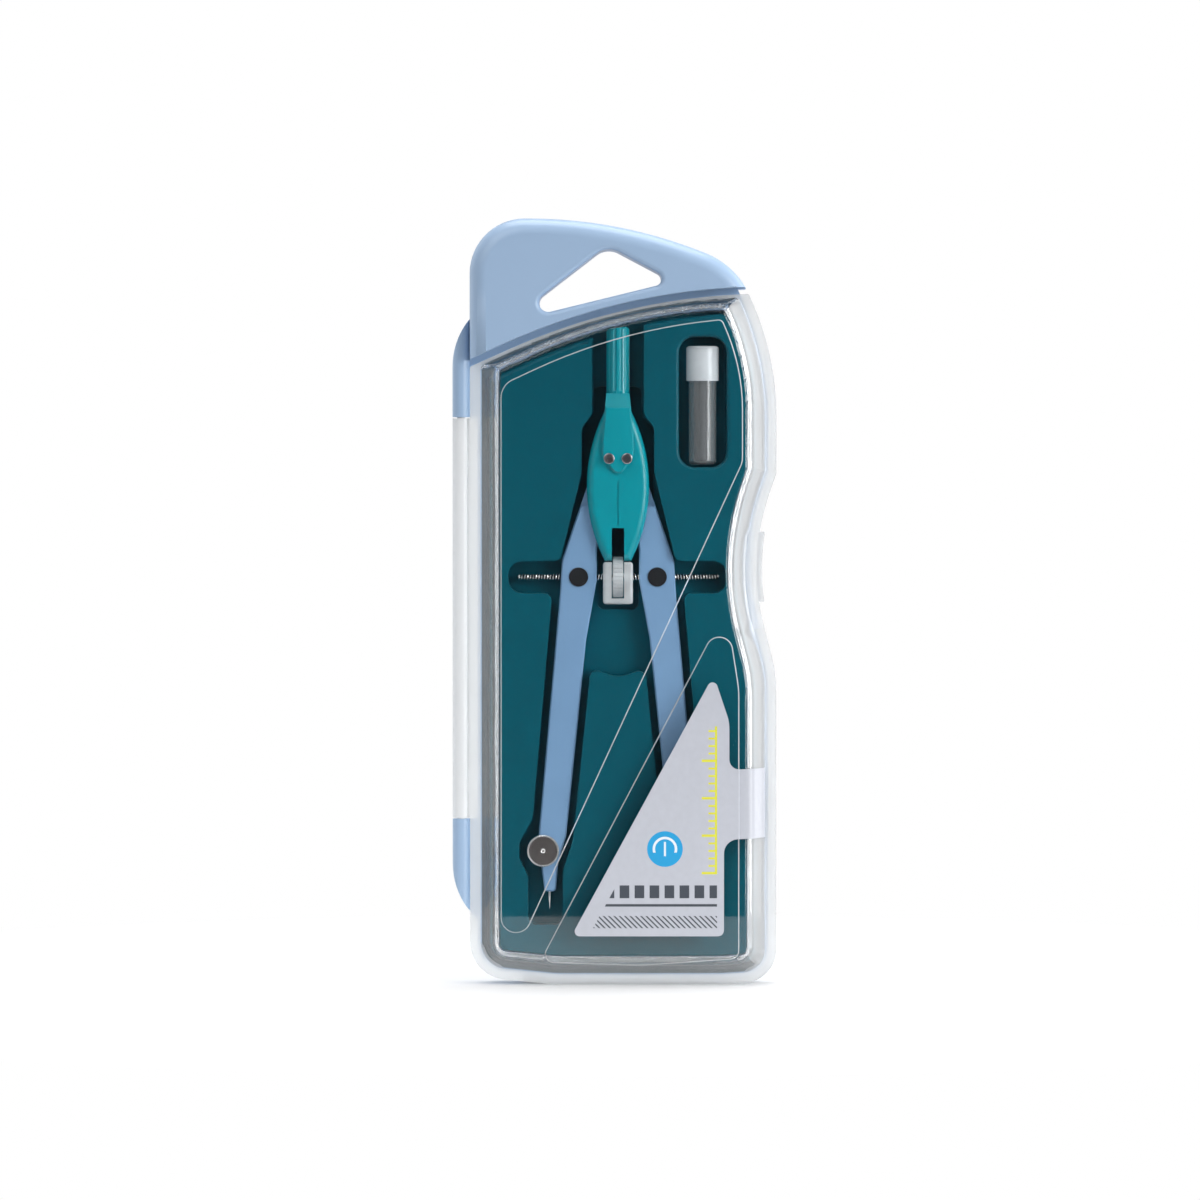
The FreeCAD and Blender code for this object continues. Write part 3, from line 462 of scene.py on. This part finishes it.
@dataclass(frozen=True)
class ThreadSteel:
    """Bright steel thread with painted shade darkening its groove, round an axis along X."""

    name: str
    crest: Colour
    groove_shade: Colour
    axis: Point
    roughness: float
    groove_mm: float = 0.74
    crest_mm: float = 0.9
    grain_per_mm: float = 6.0
    grain: float = 0.08

    def make(self) -> Material:
        """Build the material.

        Returns:
            The material.
        """
        nodes = Surface(self.name)
        _, y, z = nodes.axes()
        # The groove is painted dark as shade; the crest has the steel's own colour
        rise = nodes.reach(y - self.axis[0] / MM, z - self.axis[1] / MM).ramp(self.groove_mm, self.crest_mm)
        return nodes.finish(nodes.principled({
            "Base Color": nodes.mix(rise, self.groove_shade, self.crest),
            "Metallic": 1.0,
            "Roughness": self.roughness + self.grain * nodes.noise(self.grain_per_mm),
        }))


@dataclass(frozen=True)
class TurnedNickel:
    """Turned screw head round an axis along Y: dark face, with painted highlights on its bevel and in a ring
    at its centre.

    The bevel and the centre ring are shares of the radius.
    """

    name: str
    face: Colour
    glint: Colour
    axis: Point
    radius_mm: float
    roughness: float
    bevel_limits: Point = (0.86, 0.9)
    centre_ring: float = 0.1
    centre_limits: Point = (0.06, 0.03)
    rings: float = 120.0
    rings_depth_mm: float = 0.004
    rings_strength: float = 0.3
    grain_per_mm: float = 3.0
    grain: float = 0.05

    def make(self) -> Material:
        """Build the material.

        Returns:
            The material.
        """
        nodes = Surface(self.name)
        x, _, z = nodes.axes()
        reach = nodes.reach(x - self.axis[0] / MM, z - self.axis[1] / MM) / self.radius_mm
        # Painted highlights: a bright bevel and a bright ring at the centre over the dark face
        bevel_glint = reach.ramp(*self.bevel_limits)
        centre = (reach - self.centre_ring).size().ramp(*self.centre_limits)
        rings = nodes.maths("SINE", reach * self.rings)
        return nodes.finish(nodes.principled({
            "Base Color": nodes.mix(bevel_glint.most(centre), self.face, self.glint),
            "Metallic": 1.0,
            "Roughness": self.roughness + self.grain * nodes.noise(self.grain_per_mm),
            "Normal": nodes.bump(rings, self.rings_depth_mm, self.rings_strength),
        }))


@dataclass(frozen=True)
class SatinPaint:
    """Satin paint over cast metal."""

    name: str
    colour: Colour
    shade: Colour
    roughness: float
    metallic: float
    coat: float = 0.25
    flow_per_mm: float = 0.08
    peel_per_mm: float = 1.2
    peel: float = 0.1
    peel_depth_mm: float = 0.02
    peel_strength: float = 0.2

    def make(self) -> Material:
        """Build the material.

        Returns:
            The material.
        """
        nodes = Surface(self.name)
        peel = nodes.noise(self.peel_per_mm, detail=3.0)
        flow = nodes.noise(self.flow_per_mm).ramp(*PATCHY)
        return nodes.finish(nodes.principled({
            "Base Color": nodes.mix(flow, self.colour, self.shade),
            "Metallic": self.metallic,
            "Roughness": self.roughness + self.peel * (peel - 0.5),
            "Coat Weight": self.coat,
            "Normal": nodes.bump(peel, self.peel_depth_mm, self.peel_strength),
        }))


@dataclass(frozen=True)
class LabelPrint:
    """Silver sheet printed with plain drawing-office shapes.

    The shapes are placed in millimetres from the sheet's lower left corner, and the ticks from scale_left.
    """

    name: str
    silver: Colour
    ink: Colour
    disc: Colour
    bright: Colour
    corner: Point
    disc_mark: Colour = (0.8, 0.86, 0.9)
    roughness: float = 0.33
    coat: float = 0.3
    brush_per_mm: float = 0.6
    brush: float = 0.1
    brush_shade: float = 0.9
    grain_per_mm: float = 4.0
    grain_depth_mm: float = 0.01
    grain_strength: float = 0.2
    disc_centre: Point = (25.3, 24.5)
    disc_radius: float = 5.0
    arc_share: float = 0.62
    arc_half_width: float = 0.35
    arc_low: float = -1.0
    spoke_half_width: float = 0.28
    spoke_share: float = 0.4
    scale_left: float = 35.3
    scale_low: float = 17.4
    scale_high: float = 58.9
    scale_step: float = 2.1
    spine_middle: float = 4.3
    spine_half_width: float = 0.3
    tick_end: float = 4.4
    tick_start: float = 2.2
    tick_width: float = 0.55
    long_tick_start: float = 0.3
    long_tick_width: float = 0.7
    steps_to_long_tick: int = 5
    block_low: float = 2.3
    block_high: float = 14.3
    block_right: float = 39.9
    block_left: float = 3.9
    block_slope: float = 0.543
    bar_height: float = 3.6
    bar_pitch: float = 4.2
    bar_width: float = 2.7
    rule_drop: float = 5.6
    rule_half_width: float = 0.35
    hatch_height: float = 3.4
    hatch_pitch: float = 1.5
    hatch_width: float = 0.55

    def make(self) -> Material:
        """Build the material.

        Returns:
            The material.
        """
        nodes = Surface(self.name)
        across, _, up = nodes.axes()
        x, z = across - self.corner[0] / MM, up - self.corner[1] / MM
        brush = nodes.noise(self.brush_per_mm, detail=3.0)
        disc, mark = self._disc(x, z)
        base = nodes.mix(brush, self.silver, shaded(self.silver, self.brush_shade))
        base = nodes.mix(self._block(x, z), base, self.ink)
        base = nodes.mix(self._ticks(x, z), base, self.bright)
        base = nodes.mix(disc, base, self.disc)
        base = nodes.mix(mark, base, self.disc_mark)
        return nodes.finish(nodes.principled({
            "Base Color": base,
            "Roughness": self.roughness + self.brush * brush,
            "Coat Weight": self.coat,
            "Normal": nodes.bump(nodes.noise(self.grain_per_mm), self.grain_depth_mm, self.grain_strength),
        }))

    def _disc(self, x: Sock, z: Sock) -> Tuple[Sock, Sock]:
        """Filled disc, and the arc and spoke on it.

        Args:
            x: width in millimetres.
            z: height in millimetres.

        Returns:
            Masks of the disc and of the arc with the spoke.
        """
        dx, dz = x - self.disc_centre[0], z - self.disc_centre[1]
        reach = x.graph.reach(dx, dz)
        ring = (reach - self.disc_radius * self.arc_share).size() < self.arc_half_width
        spoke = (dx.size() < self.spoke_half_width) * (dz.size() < self.disc_radius * self.spoke_share)
        return reach < self.disc_radius, (ring * (dz > self.arc_low)).most(spoke)

    def _ticks(self, x: Sock, z: Sock) -> Sock:
        """Upright rule with long and short ticks.

        Args:
            x: width in millimetres.
            z: height in millimetres.

        Returns:
            Mask of the rule.
        """
        inside = (z > self.scale_low) * (z < self.scale_high)
        across, up = x - self.scale_left, z - self.scale_low
        spine = (across - self.spine_middle).size() < self.spine_half_width
        short = (up.wrapped(self.scale_step) < self.tick_width) * (across > self.tick_start)
        long_step = self.scale_step * self.steps_to_long_tick
        long = (up.wrapped(long_step) < self.long_tick_width) * (across > self.long_tick_start)
        ticks = short.most(long) * (across < self.tick_end)
        return spine.most(ticks) * inside

    def _block(self, x: Sock, z: Sock) -> Sock:
        """Drawn shapes at the foot of the label: squares, a line and hatching.

        Args:
            x: width in millimetres.
            z: height in millimetres.

        Returns:
            Mask of the shapes.
        """
        inside = (x > self.block_left + self.block_slope * z) * (x < self.block_right)
        top = (z > self.block_high - self.bar_height) * (z < self.block_high)
        bars = top * (x.wrapped(self.bar_pitch) < self.bar_width)
        rule = (z - (self.block_high - self.rule_drop)).size() < self.rule_half_width
        low = (z > self.block_low) * (z < self.block_low + self.hatch_height)
        hatch = low * ((x + z).wrapped(self.hatch_pitch) < self.hatch_width)
        return bars.most(rule).most(hatch) * inside


def linked(name: str, data: Any) -> Object:
    """New object in the scene, at the origin.

    Args:
        name: the object's name.
        data: its mesh, lamp or camera.

    Returns:
        The object.
    """
    made = bpy.data.objects.new(name, data)
    bpy.context.scene.collection.objects.link(made)
    return made


def baked(piece: Object) -> Object:
    """Turn a piece's modifiers into plain mesh.

    Args:
        piece: the object.

    Returns:
        The same object, without modifiers.
    """
    graph = bpy.context.evaluated_depsgraph_get()
    mesh = bpy.data.meshes.new_from_object(piece.evaluated_get(graph), preserve_all_data_layers=True,
                                           depsgraph=graph)
    mesh.name = piece.name
    piece.modifiers.clear()
    piece.data = mesh
    return piece


@dataclass(frozen=True)
class MeshCleaner:
    """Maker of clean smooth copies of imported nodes.

    An edge above the sharp angle stays sharp, and two faces below the flat angle become one.
    """

    sharp_degrees: float = 20.0
    flat_degrees: float = 0.05
    merge: float = 2e-6
    sliver: float = 1e-6
    weight: int = 80

    def copy(self, node: str, name: str) -> Object:
        """Merged copy of a node with its shading weighted towards its large faces.

        Args:
            node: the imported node.
            name: the new piece's name.

        Returns:
            The new object, at the origin.
        """
        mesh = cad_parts[node].data.copy()
        mesh.name = name
        work = bmesh.new()
        work.from_mesh(mesh)
        bmesh.ops.remove_doubles(work, verts=work.verts, dist=self.merge)
        bmesh.ops.dissolve_degenerate(work, edges=work.edges, dist=self.sliver)
        bmesh.ops.dissolve_limit(work, angle_limit=math.radians(self.flat_degrees),
                                 use_dissolve_boundaries=False, verts=work.verts, edges=work.edges)
        bmesh.ops.recalc_face_normals(work, faces=work.faces)
        work.to_mesh(mesh)
        work.free()
        mesh.materials.clear()
        mesh.shade_smooth()
        mesh.set_sharp_from_angle(angle=math.radians(self.sharp_degrees))
        piece = linked(name, mesh)
        weigh = piece.modifiers.new("weigh", "WEIGHTED_NORMAL")
        weigh.keep_sharp = True
        weigh.weight = self.weight
        return baked(piece)


@dataclass
class Assembly:
    """Pieces that belong together."""

    cleaner: MeshCleaner
    pieces: List[Object] = field(default_factory=list)

    def dress(self, node: str, name: str, body: Body, slot: Slot, material: Material) -> Object:
        """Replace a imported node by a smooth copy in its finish.

        Args:
            node: the node.
            name: the piece's name.
            body: the body that it rides on.
            slot: the slot that its finish belongs to.
            material: the finish.

        Returns:
            The piece.
        """
        return self.settle(self.cleaner.copy(node, name), node, body, slot, material)

    def settle(self, piece: Object, node: str, body: Body, slot: Slot, material: Material) -> Object:
        """Give a piece its finish and body.

        Args:
            piece: the piece.
            node: the node that it stands for.
            body: the body that it rides on.
            slot: the slot that its finish belongs to; not used.
            material: the finish.

        Returns:
            The piece.
        """
        piece.data.materials.clear()
        piece.data.materials.append(material)
        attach(piece, body.value)
        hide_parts(node)
        self.pieces.append(piece)
        LOG.info("%s: %d faces", piece.name, len(piece.data.polygons))
        return piece


@dataclass
class Case(Assembly):
    """Base shell and insert tray."""

    def build(self) -> None:
        """Make the pieces."""
        blue = MouldedPlastic("moulded light blue", colour=(0.36, 0.5, 0.69), shade=(0.35, 0.49, 0.68),
                              roughness=0.28)
        teal = MouldedPlastic("moulded deep teal", colour=(0.0, 0.088, 0.122), shade=(0.0, 0.084, 0.117),
                              roughness=0.33, shine=0.2)
        self.dress("base_shell", "case_base", Body.CASE, Slot.CASE, blue.make())
        self.dress("insert_tray", "tray", Body.CASE, Slot.TRAY, teal.make())


@dataclass
class Lid(Assembly):
    """Clear lid and its label."""

    # Shares of milky white painted on the lid as highlight on the steps, sheen on the barrel and rim, and
    # reflection on the walls
    step_depth: float = 0.47 * MM
    step_tilt: float = 0.95
    step_highlight: float = 0.55
    barrel_width: float = 4.6 * MM
    barrel_sheen: float = 0.75
    rim_depth: float = 6.7 * MM
    rim_sheen: float = 0.5
    wall_tilt: float = 0.8
    right_wall_reflection: float = 0.3
    left_wall_reflection: float = 0.08
    foot_wall_reflection: float = 0.17

    def build(self) -> None:
        """Make the pieces."""
        clear = ClearPlastic("clear lid plastic", colour=(0.97, 0.985, 0.99), roughness=0.01)
        low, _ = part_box("lid_label")
        label = LabelPrint("printed silver sheet", silver=(0.56, 0.58, 0.64), ink=(0.06, 0.07, 0.09),
                           disc=(0.02, 0.36, 0.7), bright=(0.75, 0.75, 0.05), corner=(low[0], low[2]))
        lid = self.dress("lid", "clear_lid", Body.LID, Slot.LID, clear.make())
        self.paint_sheen(lid)
        self.dress("lid_label", "label_sheet", Body.LID, Slot.LABEL, label.make())

    def paint_sheen(self, lid: Object) -> None:
        """Paint highlights, sheen and reflection onto the steps round the raised panels, the hinge barrel,
        the rim and the walls, as shares of milky white.

        Args:
            lid: the lid piece.
        """
        low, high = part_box("lid")
        front, middle = low[1], (low[2] + high[2]) / 2
        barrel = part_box("base_shell")[0][0] + self.barrel_width
        # Painted highlights on the steps, painted sheen on the barrel and rim, painted reflection on the
        # walls
        marks = lid.data.attributes.new(MILK_AND_SHEEN, "FLOAT", "FACE")
        for face, mark in zip(lid.data.polygons, marks.data):
            spot = face.center
            foremost = min(lid.data.vertices[k].co.y for k in face.vertices)
            if spot.y < front + self.step_depth and face.normal.y > -self.step_tilt:
                mark.value = self.step_highlight
            elif spot.x < barrel:
                mark.value = self.barrel_sheen
            elif foremost > front + self.rim_depth:
                mark.value = self.rim_sheen
            elif abs(face.normal.y) < self.wall_tilt:
                mark.value = self.wall_reflection(spot, face.normal, middle)

    def wall_reflection(self, spot: Vector, normal: Vector, middle: float) -> float:
        """How much painted reflection a wall gets: most on the right, less along the foot and on the left,
        and not at the top.

        Args:
            spot: middle of the face.
            normal: its outward direction.
            middle: height of the lid's middle.

        Returns:
            The share of painted reflection.
        """
        # Painted reflection: stronger on the right wall than on the left
        if abs(normal.z) > abs(normal.x):
            return self.foot_wall_reflection if spot.z < middle else 0.0
        return self.right_wall_reflection if spot.x > 0 else self.left_wall_reflection


@dataclass
class Compass(Assembly):
    """Head, legs, points and clamp screws."""

    def build(self) -> None:
        """Make the pieces."""
        teal = MouldedPlastic("moulded teal", colour=(0.0, 0.29, 0.345), shade=(0.0, 0.282, 0.335),
                              roughness=0.26).make()
        paint = SatinPaint("satin blue paint", colour=(0.235, 0.405, 0.635), shade=(0.225, 0.39, 0.615),
                           roughness=0.36, metallic=0.25).make()
        screw = Metal("plated screw steel", colour=(0.6, 0.6, 0.62), roughness=0.24).make()
        steel = Metal("needle steel", colour=(0.68, 0.69, 0.71), roughness=0.2, marks=0.06).make()
        graphite = Metal("graphite", colour=(0.09, 0.09, 0.1), roughness=0.45).make()
        self.dress("grip_yoke", "grip", Body.CASE, Slot.HEAD, teal)
        self.dress("head_front_shell", "head_front", Body.CASE, Slot.HEAD, teal)
        self.dress("head_rear_shell", "head_rear", Body.CASE, Slot.HEAD, teal)
        self.dress("pivot_screws", "head_screws", Body.CASE, Slot.SCREW, screw)
        self.dress("left_leg", "needle_leg", Body.LEFT_LEG, Slot.LEG, paint)
        self.dress("right_leg", "lead_leg", Body.RIGHT_LEG, Slot.LEG, paint)
        self.clamp_screw("needle_clamp_screw", "needle_screw", Body.NEEDLE_SCREW)
        self.clamp_screw("lead_clamp_screw", "lead_screw", Body.LEAD_SCREW)
        self.dress("needle", "steel_needle", Body.NEEDLE, Slot.NEEDLE, steel)
        self.dress("compass_lead", "drawing_lead", Body.LEAD, Slot.LEAD, graphite)

    def clamp_screw(self, node: str, name: str, body: Body) -> None:
        """Clamp screw, with its turned rings round its own axis.

        Args:
            node: the screw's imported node.
            name: the piece's name.
            body: the body that it rides on.
        """
        low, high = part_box(node)
        axis = ((low[0] + high[0]) / 2, (low[2] + high[2]) / 2)
        nickel = TurnedNickel("turned nickel", face=(0.3, 0.27, 0.26), glint=(0.92, 0.9, 0.88), axis=axis,
                              radius_mm=(high[0] - low[0]) / 2 / MM, roughness=0.22)
        self.dress(node, name, body, Slot.BRIGHT, nickel.make())


@dataclass(frozen=True)
class Thread:
    """Threaded rod, a helical ridge round a core, made by geometry nodes."""

    pitch: float = 0.8 * MM
    core_share: float = 0.6
    points_per_turn: int = 20
    ridge_sides: int = 8
    core_sides: int = 32

    def group(self, material: Material) -> NodeTree:
        """Node group that makes a threaded rod along +Z from the origin.

        Args:
            material: the rod's finish.

        Returns:
            The node group.
        """
        tree = bpy.data.node_groups.new("threaded rod", "GeometryNodeTree")
        for name in ("Length", "Radius", "Core", "Pitch"):
            tree.interface.new_socket(name, in_out="INPUT", socket_type="NodeSocketFloat")
        tree.interface.new_socket("Left Handed", in_out="INPUT", socket_type="NodeSocketBool")
        tree.interface.new_socket("Geometry", in_out="OUTPUT", socket_type="NodeSocketGeometry")
        nodes = Graph(tree)
        given = nodes.node("NodeGroupInput")
        length, radius, core = (nodes.out(given, name) for name in ("Length", "Radius", "Core"))
        ridge_radius = (radius - core) * 0.5
        coil_radius = radius - ridge_radius
        coil = nodes.out(nodes.node("GeometryNodeCurveSpiral", None, {
            "Resolution": self.points_per_turn,
            "Rotations": length / nodes.out(given, "Pitch"),
            "Start Radius": coil_radius,
            "End Radius": coil_radius,
            "Height": length,
            "Reverse": nodes.out(given, "Left Handed"),
        }))
        ring = nodes.out(nodes.node("GeometryNodeCurvePrimitiveCircle", {"mode": "RADIUS"},
                            {"Resolution": self.ridge_sides, "Radius": ridge_radius}))
        ridge = nodes.out(nodes.node("GeometryNodeCurveToMesh", None, {0: coil, 1: ring, "Fill Caps": True}))
        rod = nodes.out(nodes.node("GeometryNodeMeshCylinder", {"fill_type": "NGON"},
                           {"Vertices": self.core_sides, "Radius": core, "Depth": length}))
        lift = nodes.out(nodes.node("ShaderNodeCombineXYZ", None, {2: length * 0.5}))
        raised = nodes.out(nodes.node("GeometryNodeTransform", None, {0: rod, "Translation": lift}))
        both = nodes.node("GeometryNodeJoinGeometry", None, {0: ridge})
        tree.links.new(raised.socket, both.inputs[0])
        whole = nodes.out(nodes.node("GeometryNodeRealizeInstances", None, {0: nodes.out(both)}))
        painted = nodes.out(nodes.node("GeometryNodeSetMaterial", None, {0: whole, "Material": material}))
        nodes.node("NodeGroupOutput", None, {0: painted})
        return tree

    def rod(self, tree: NodeTree, length: float, radius: float, left_handed: bool) -> Object:
        """Threaded rod as a plain mesh, along +Z from the origin.

        Args:
            tree: the node group that makes it.
            length: its length.
            radius: outside radius of the thread.
            left_handed: which way the thread winds.

        Returns:
            The object.
        """
        piece = linked("thread_half", bpy.data.meshes.new("thread_half"))
        wind = piece.modifiers.new("thread", "NODES")
        wind.node_group = tree
        values = {"Length": length, "Radius": radius, "Core": radius * self.core_share, "Pitch": self.pitch,
                  "Left Handed": left_handed}
        for item in tree.interface.items_tree:
            if item.in_out == "INPUT":
                wind[item.identifier] = values[item.name]
        bpy.context.view_layer.update()
        return baked(piece)


@dataclass
class Drive(Assembly):
    """Threaded spindle, nuts, wheel and carrier."""

    thread: Thread = Thread()
    crest_degrees: float = 40.0

    def build(self) -> None:
        """Make the pieces."""
        black = MouldedPlastic("blackened nut", colour=(0.012, 0.012, 0.014), shade=(0.018, 0.018, 0.02),
                               roughness=0.3).make()
        milk = FrostedPlastic("frosted wheel plastic", colour=(0.95, 0.96, 0.97), roughness=0.12,
                              through=0.55).make()
        self.spindle()
        self.dress("left_nut", "nut_left", Body.LEFT_NUT, Slot.NUT, black)
        self.dress("right_nut", "nut_right", Body.RIGHT_NUT, Slot.NUT, black)
        self.dress("adjuster_wheel", "thumb_wheel", Body.SPINDLE, Slot.FROSTED, milk)
        self.dress("wheel_carrier", "carrier_block", Body.CARRIER, Slot.FROSTED, milk)

    def spindle(self) -> None:
        """Threaded rod in two halves of opposite hand, joined into one piece."""
        low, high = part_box("spindle")
        middle = (Vector(low) + Vector(high)) / 2
        half = (high[0] - low[0]) / 2
        radius = (high[2] - low[2]) / 2
        steel = ThreadSteel("spindle steel", crest=(0.88, 0.87, 0.85), groove_shade=(0.03, 0.028, 0.025),
                            axis=(middle.y, middle.z), roughness=0.22).make()
        tree = self.thread.group(steel)
        whole = bmesh.new()
        for side, left_handed in ((-1, True), (1, False)):
            part = self.thread.rod(tree, half, radius, left_handed)
            for spot in part.data.vertices:
                x, y, z = spot.co
                spot.co = (middle.x + side * z, middle.y + y, middle.z + x * side)
            whole.from_mesh(part.data)
            bpy.data.objects.remove(part)
        bmesh.ops.recalc_face_normals(whole, faces=whole.faces)
        mesh = bpy.data.meshes.new("threaded_spindle")
        whole.to_mesh(mesh)
        whole.free()
        mesh.shade_smooth()
        mesh.set_sharp_from_angle(angle=math.radians(self.crest_degrees))
        self.settle(linked("threaded_spindle", mesh), "spindle", Body.SPINDLE, Slot.SPINDLE, steel)


@dataclass
class Vial(Assembly):
    """Lead vial, its cap and the leads in it."""

    vial_pale: float = 0.08

    def build(self) -> None:
        """Make the pieces."""
        clear = ClearPlastic("clear vial plastic", colour=(0.95, 0.97, 0.98), roughness=0.03)
        milk = FrostedPlastic("frosted cap plastic", colour=(0.95, 0.96, 0.98), roughness=0.12, through=0.55)
        graphite = Metal("spare graphite", colour=(0.03, 0.03, 0.032), roughness=0.4)
        vial = self.dress("lead_vial", "vial", Body.CASE, Slot.VIAL, clear.make())
        for mark in vial.data.attributes.new(MILK_AND_SHEEN, "FLOAT", "FACE").data:
            mark.value = self.vial_pale
        self.dress("vial_cap", "cap", Body.CASE, Slot.FROSTED, milk.make())
        self.dress("spare_leads", "leads", Body.CASE, Slot.LEAD, graphite.make())


@dataclass(frozen=True)
class Lamp:
    """Soft rectangular lamp, its place and size in metres and its power in watts."""

    name: str
    place: Place
    size: Point
    power: float

    def hang(self, aim: Vector) -> None:
        """Put the lamp in the scene.

        Args:
            aim: the point that it faces.
        """
        light = bpy.data.lights.new(self.name, "AREA")
        light.shape = "RECTANGLE"
        light.size, light.size_y = self.size
        light.energy = self.power
        lamp = linked(self.name, light)
        lamp.location = self.place
        lamp.rotation_euler = (aim - Vector(self.place)).to_track_quat("-Z", "Y").to_euler()


@dataclass
class Studio:
    """Floor, light and camera.

    The floor is short, so that the lower front of the lid doesn't mirror it.
    """

    metres_per_frame: float = 0.336
    centre: Place = (-4.04 * MM, -11.0 * MM, 108.4 * MM)
    distance: float = 1.9
    elevation: float = 1.2
    sensor_mm: float = 36.0
    far: float = 20.0
    floor_half: float = 0.3
    fade_limits: Point = (0.13, 0.29)
    floor_grey: Colour = (0.88, 0.88, 0.88)
    floor_roughness: float = 0.7
    floor_grain: float = 0.1
    floor_grain_per_mm: float = 0.02
    front_grey: Colour = (0.03, 0.03, 0.035)
    room_white: Colour = (0.6, 0.6, 0.61)
    card_limits: Point = (-0.9, -0.35)
    no_bounce_below: float = 0.5
    lamps: Tuple[Lamp, ...] = (
        Lamp("key", place=(-0.55, -1.0, 0.95), size=(0.9, 0.9), power=4.5),
        Lamp("fill", place=(0.95, -0.7, 0.4), size=(0.45, 1.0), power=9.5),
        Lamp("top", place=(0.0, 0.1, 1.1), size=(0.8, 0.8), power=7.0),
        Lamp("right strip", place=(1.5, 0.7, 0.3), size=(1.0, 2.6), power=15.0),
        Lamp("left strip", place=(-1.5, 0.7, 0.3), size=(1.0, 2.6), power=4.0),
    )

    def build(self) -> None:
        """Set the stage."""
        self.floor()
        self.world()
        for lamp in self.lamps:
            lamp.hang(Vector(self.centre))
        self.camera()
        bpy.context.scene.view_settings.view_transform = "Standard"

    def floor(self) -> None:
        """Pale floor that fades to plain white away from the object."""
        nodes = Surface("pale floor")
        x, y, _ = nodes.axes()
        away = (nodes.reach(x, y) * MM).ramp(*self.fade_limits)
        dull = nodes.principled({
            "Base Color": self.floor_grey,
            "Roughness": self.floor_roughness + self.floor_grain * nodes.noise(self.floor_grain_per_mm),
        })
        white = nodes.out(nodes.node("ShaderNodeEmission", None, {"Color": rgba(WHITE), "Strength": 1.0}))
        mesh = bpy.data.meshes.new("floor")
        half = self.floor_half
        square = [(-half, -half, 0), (half, -half, 0), (half, half, 0), (-half, half, 0)]
        mesh.from_pydata(square, [], [(0, 1, 2, 3)])
        mesh.materials.append(nodes.finish(nodes.blend(away, dull, white)))
        linked("floor", mesh)

    def world(self) -> None:
        """White room with a dark card in front, plain white to the camera, also straight through plastic."""
        world = bpy.data.worlds.new("studio")
        bpy.context.scene.world = world
        world.use_nodes = True
        nodes = Graph(world.node_tree)
        way = nodes.out(nodes.node("ShaderNodeTexCoord"), "Generated")
        to_back = nodes.out(nodes.node("ShaderNodeSeparateXYZ", None, {0: way}), "Y")
        room = nodes.mix(to_back.ramp(*self.card_limits), self.front_grey, self.room_white)
        path = nodes.node("ShaderNodeLightPath")
        unscattered = nodes.out(path, "Diffuse Depth") < self.no_bounce_below
        unmirrored = nodes.out(path, "Glossy Depth") < self.no_bounce_below
        through = nodes.out(path, "Is Transmission Ray") * unscattered * unmirrored
        seen = nodes.out(path, "Is Camera Ray").most(through)
        light = nodes.out(nodes.node("ShaderNodeBackground", None,
                             {"Color": nodes.mix(seen, room, WHITE), "Strength": 1.0}))
        nodes.node("ShaderNodeOutputWorld", None, {"Surface": light})

    def camera(self) -> None:
        """Long lens in front of the case."""
        data = bpy.data.cameras.new("camera")
        data.sensor_width = self.sensor_mm
        data.lens = self.sensor_mm * self.distance / self.metres_per_frame
        data.clip_end = self.far
        camera = linked("camera", data)
        tilt = math.radians(self.elevation)
        back = Vector((0, -math.cos(tilt), math.sin(tilt))) * self.distance
        camera.location = Vector(self.centre) + back
        camera.rotation_euler = (-back).to_track_quat("-Z", "Y").to_euler()
        bpy.context.scene.camera = camera


def main() -> None:
    """Build every sub-assembly and the stage."""
    logging.basicConfig(level=logging.INFO, format="%(name)s %(message)s")
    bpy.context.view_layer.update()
    cleaner = MeshCleaner()
    for kind in (Case, Lid, Compass, Drive, Vial):
        assembly = kind(cleaner)
        assembly.build()
        LOG.info("%s: %d pieces", type(assembly).__name__, len(assembly.pieces))
    Studio().build()


if __name__ == "__main__":
    main()
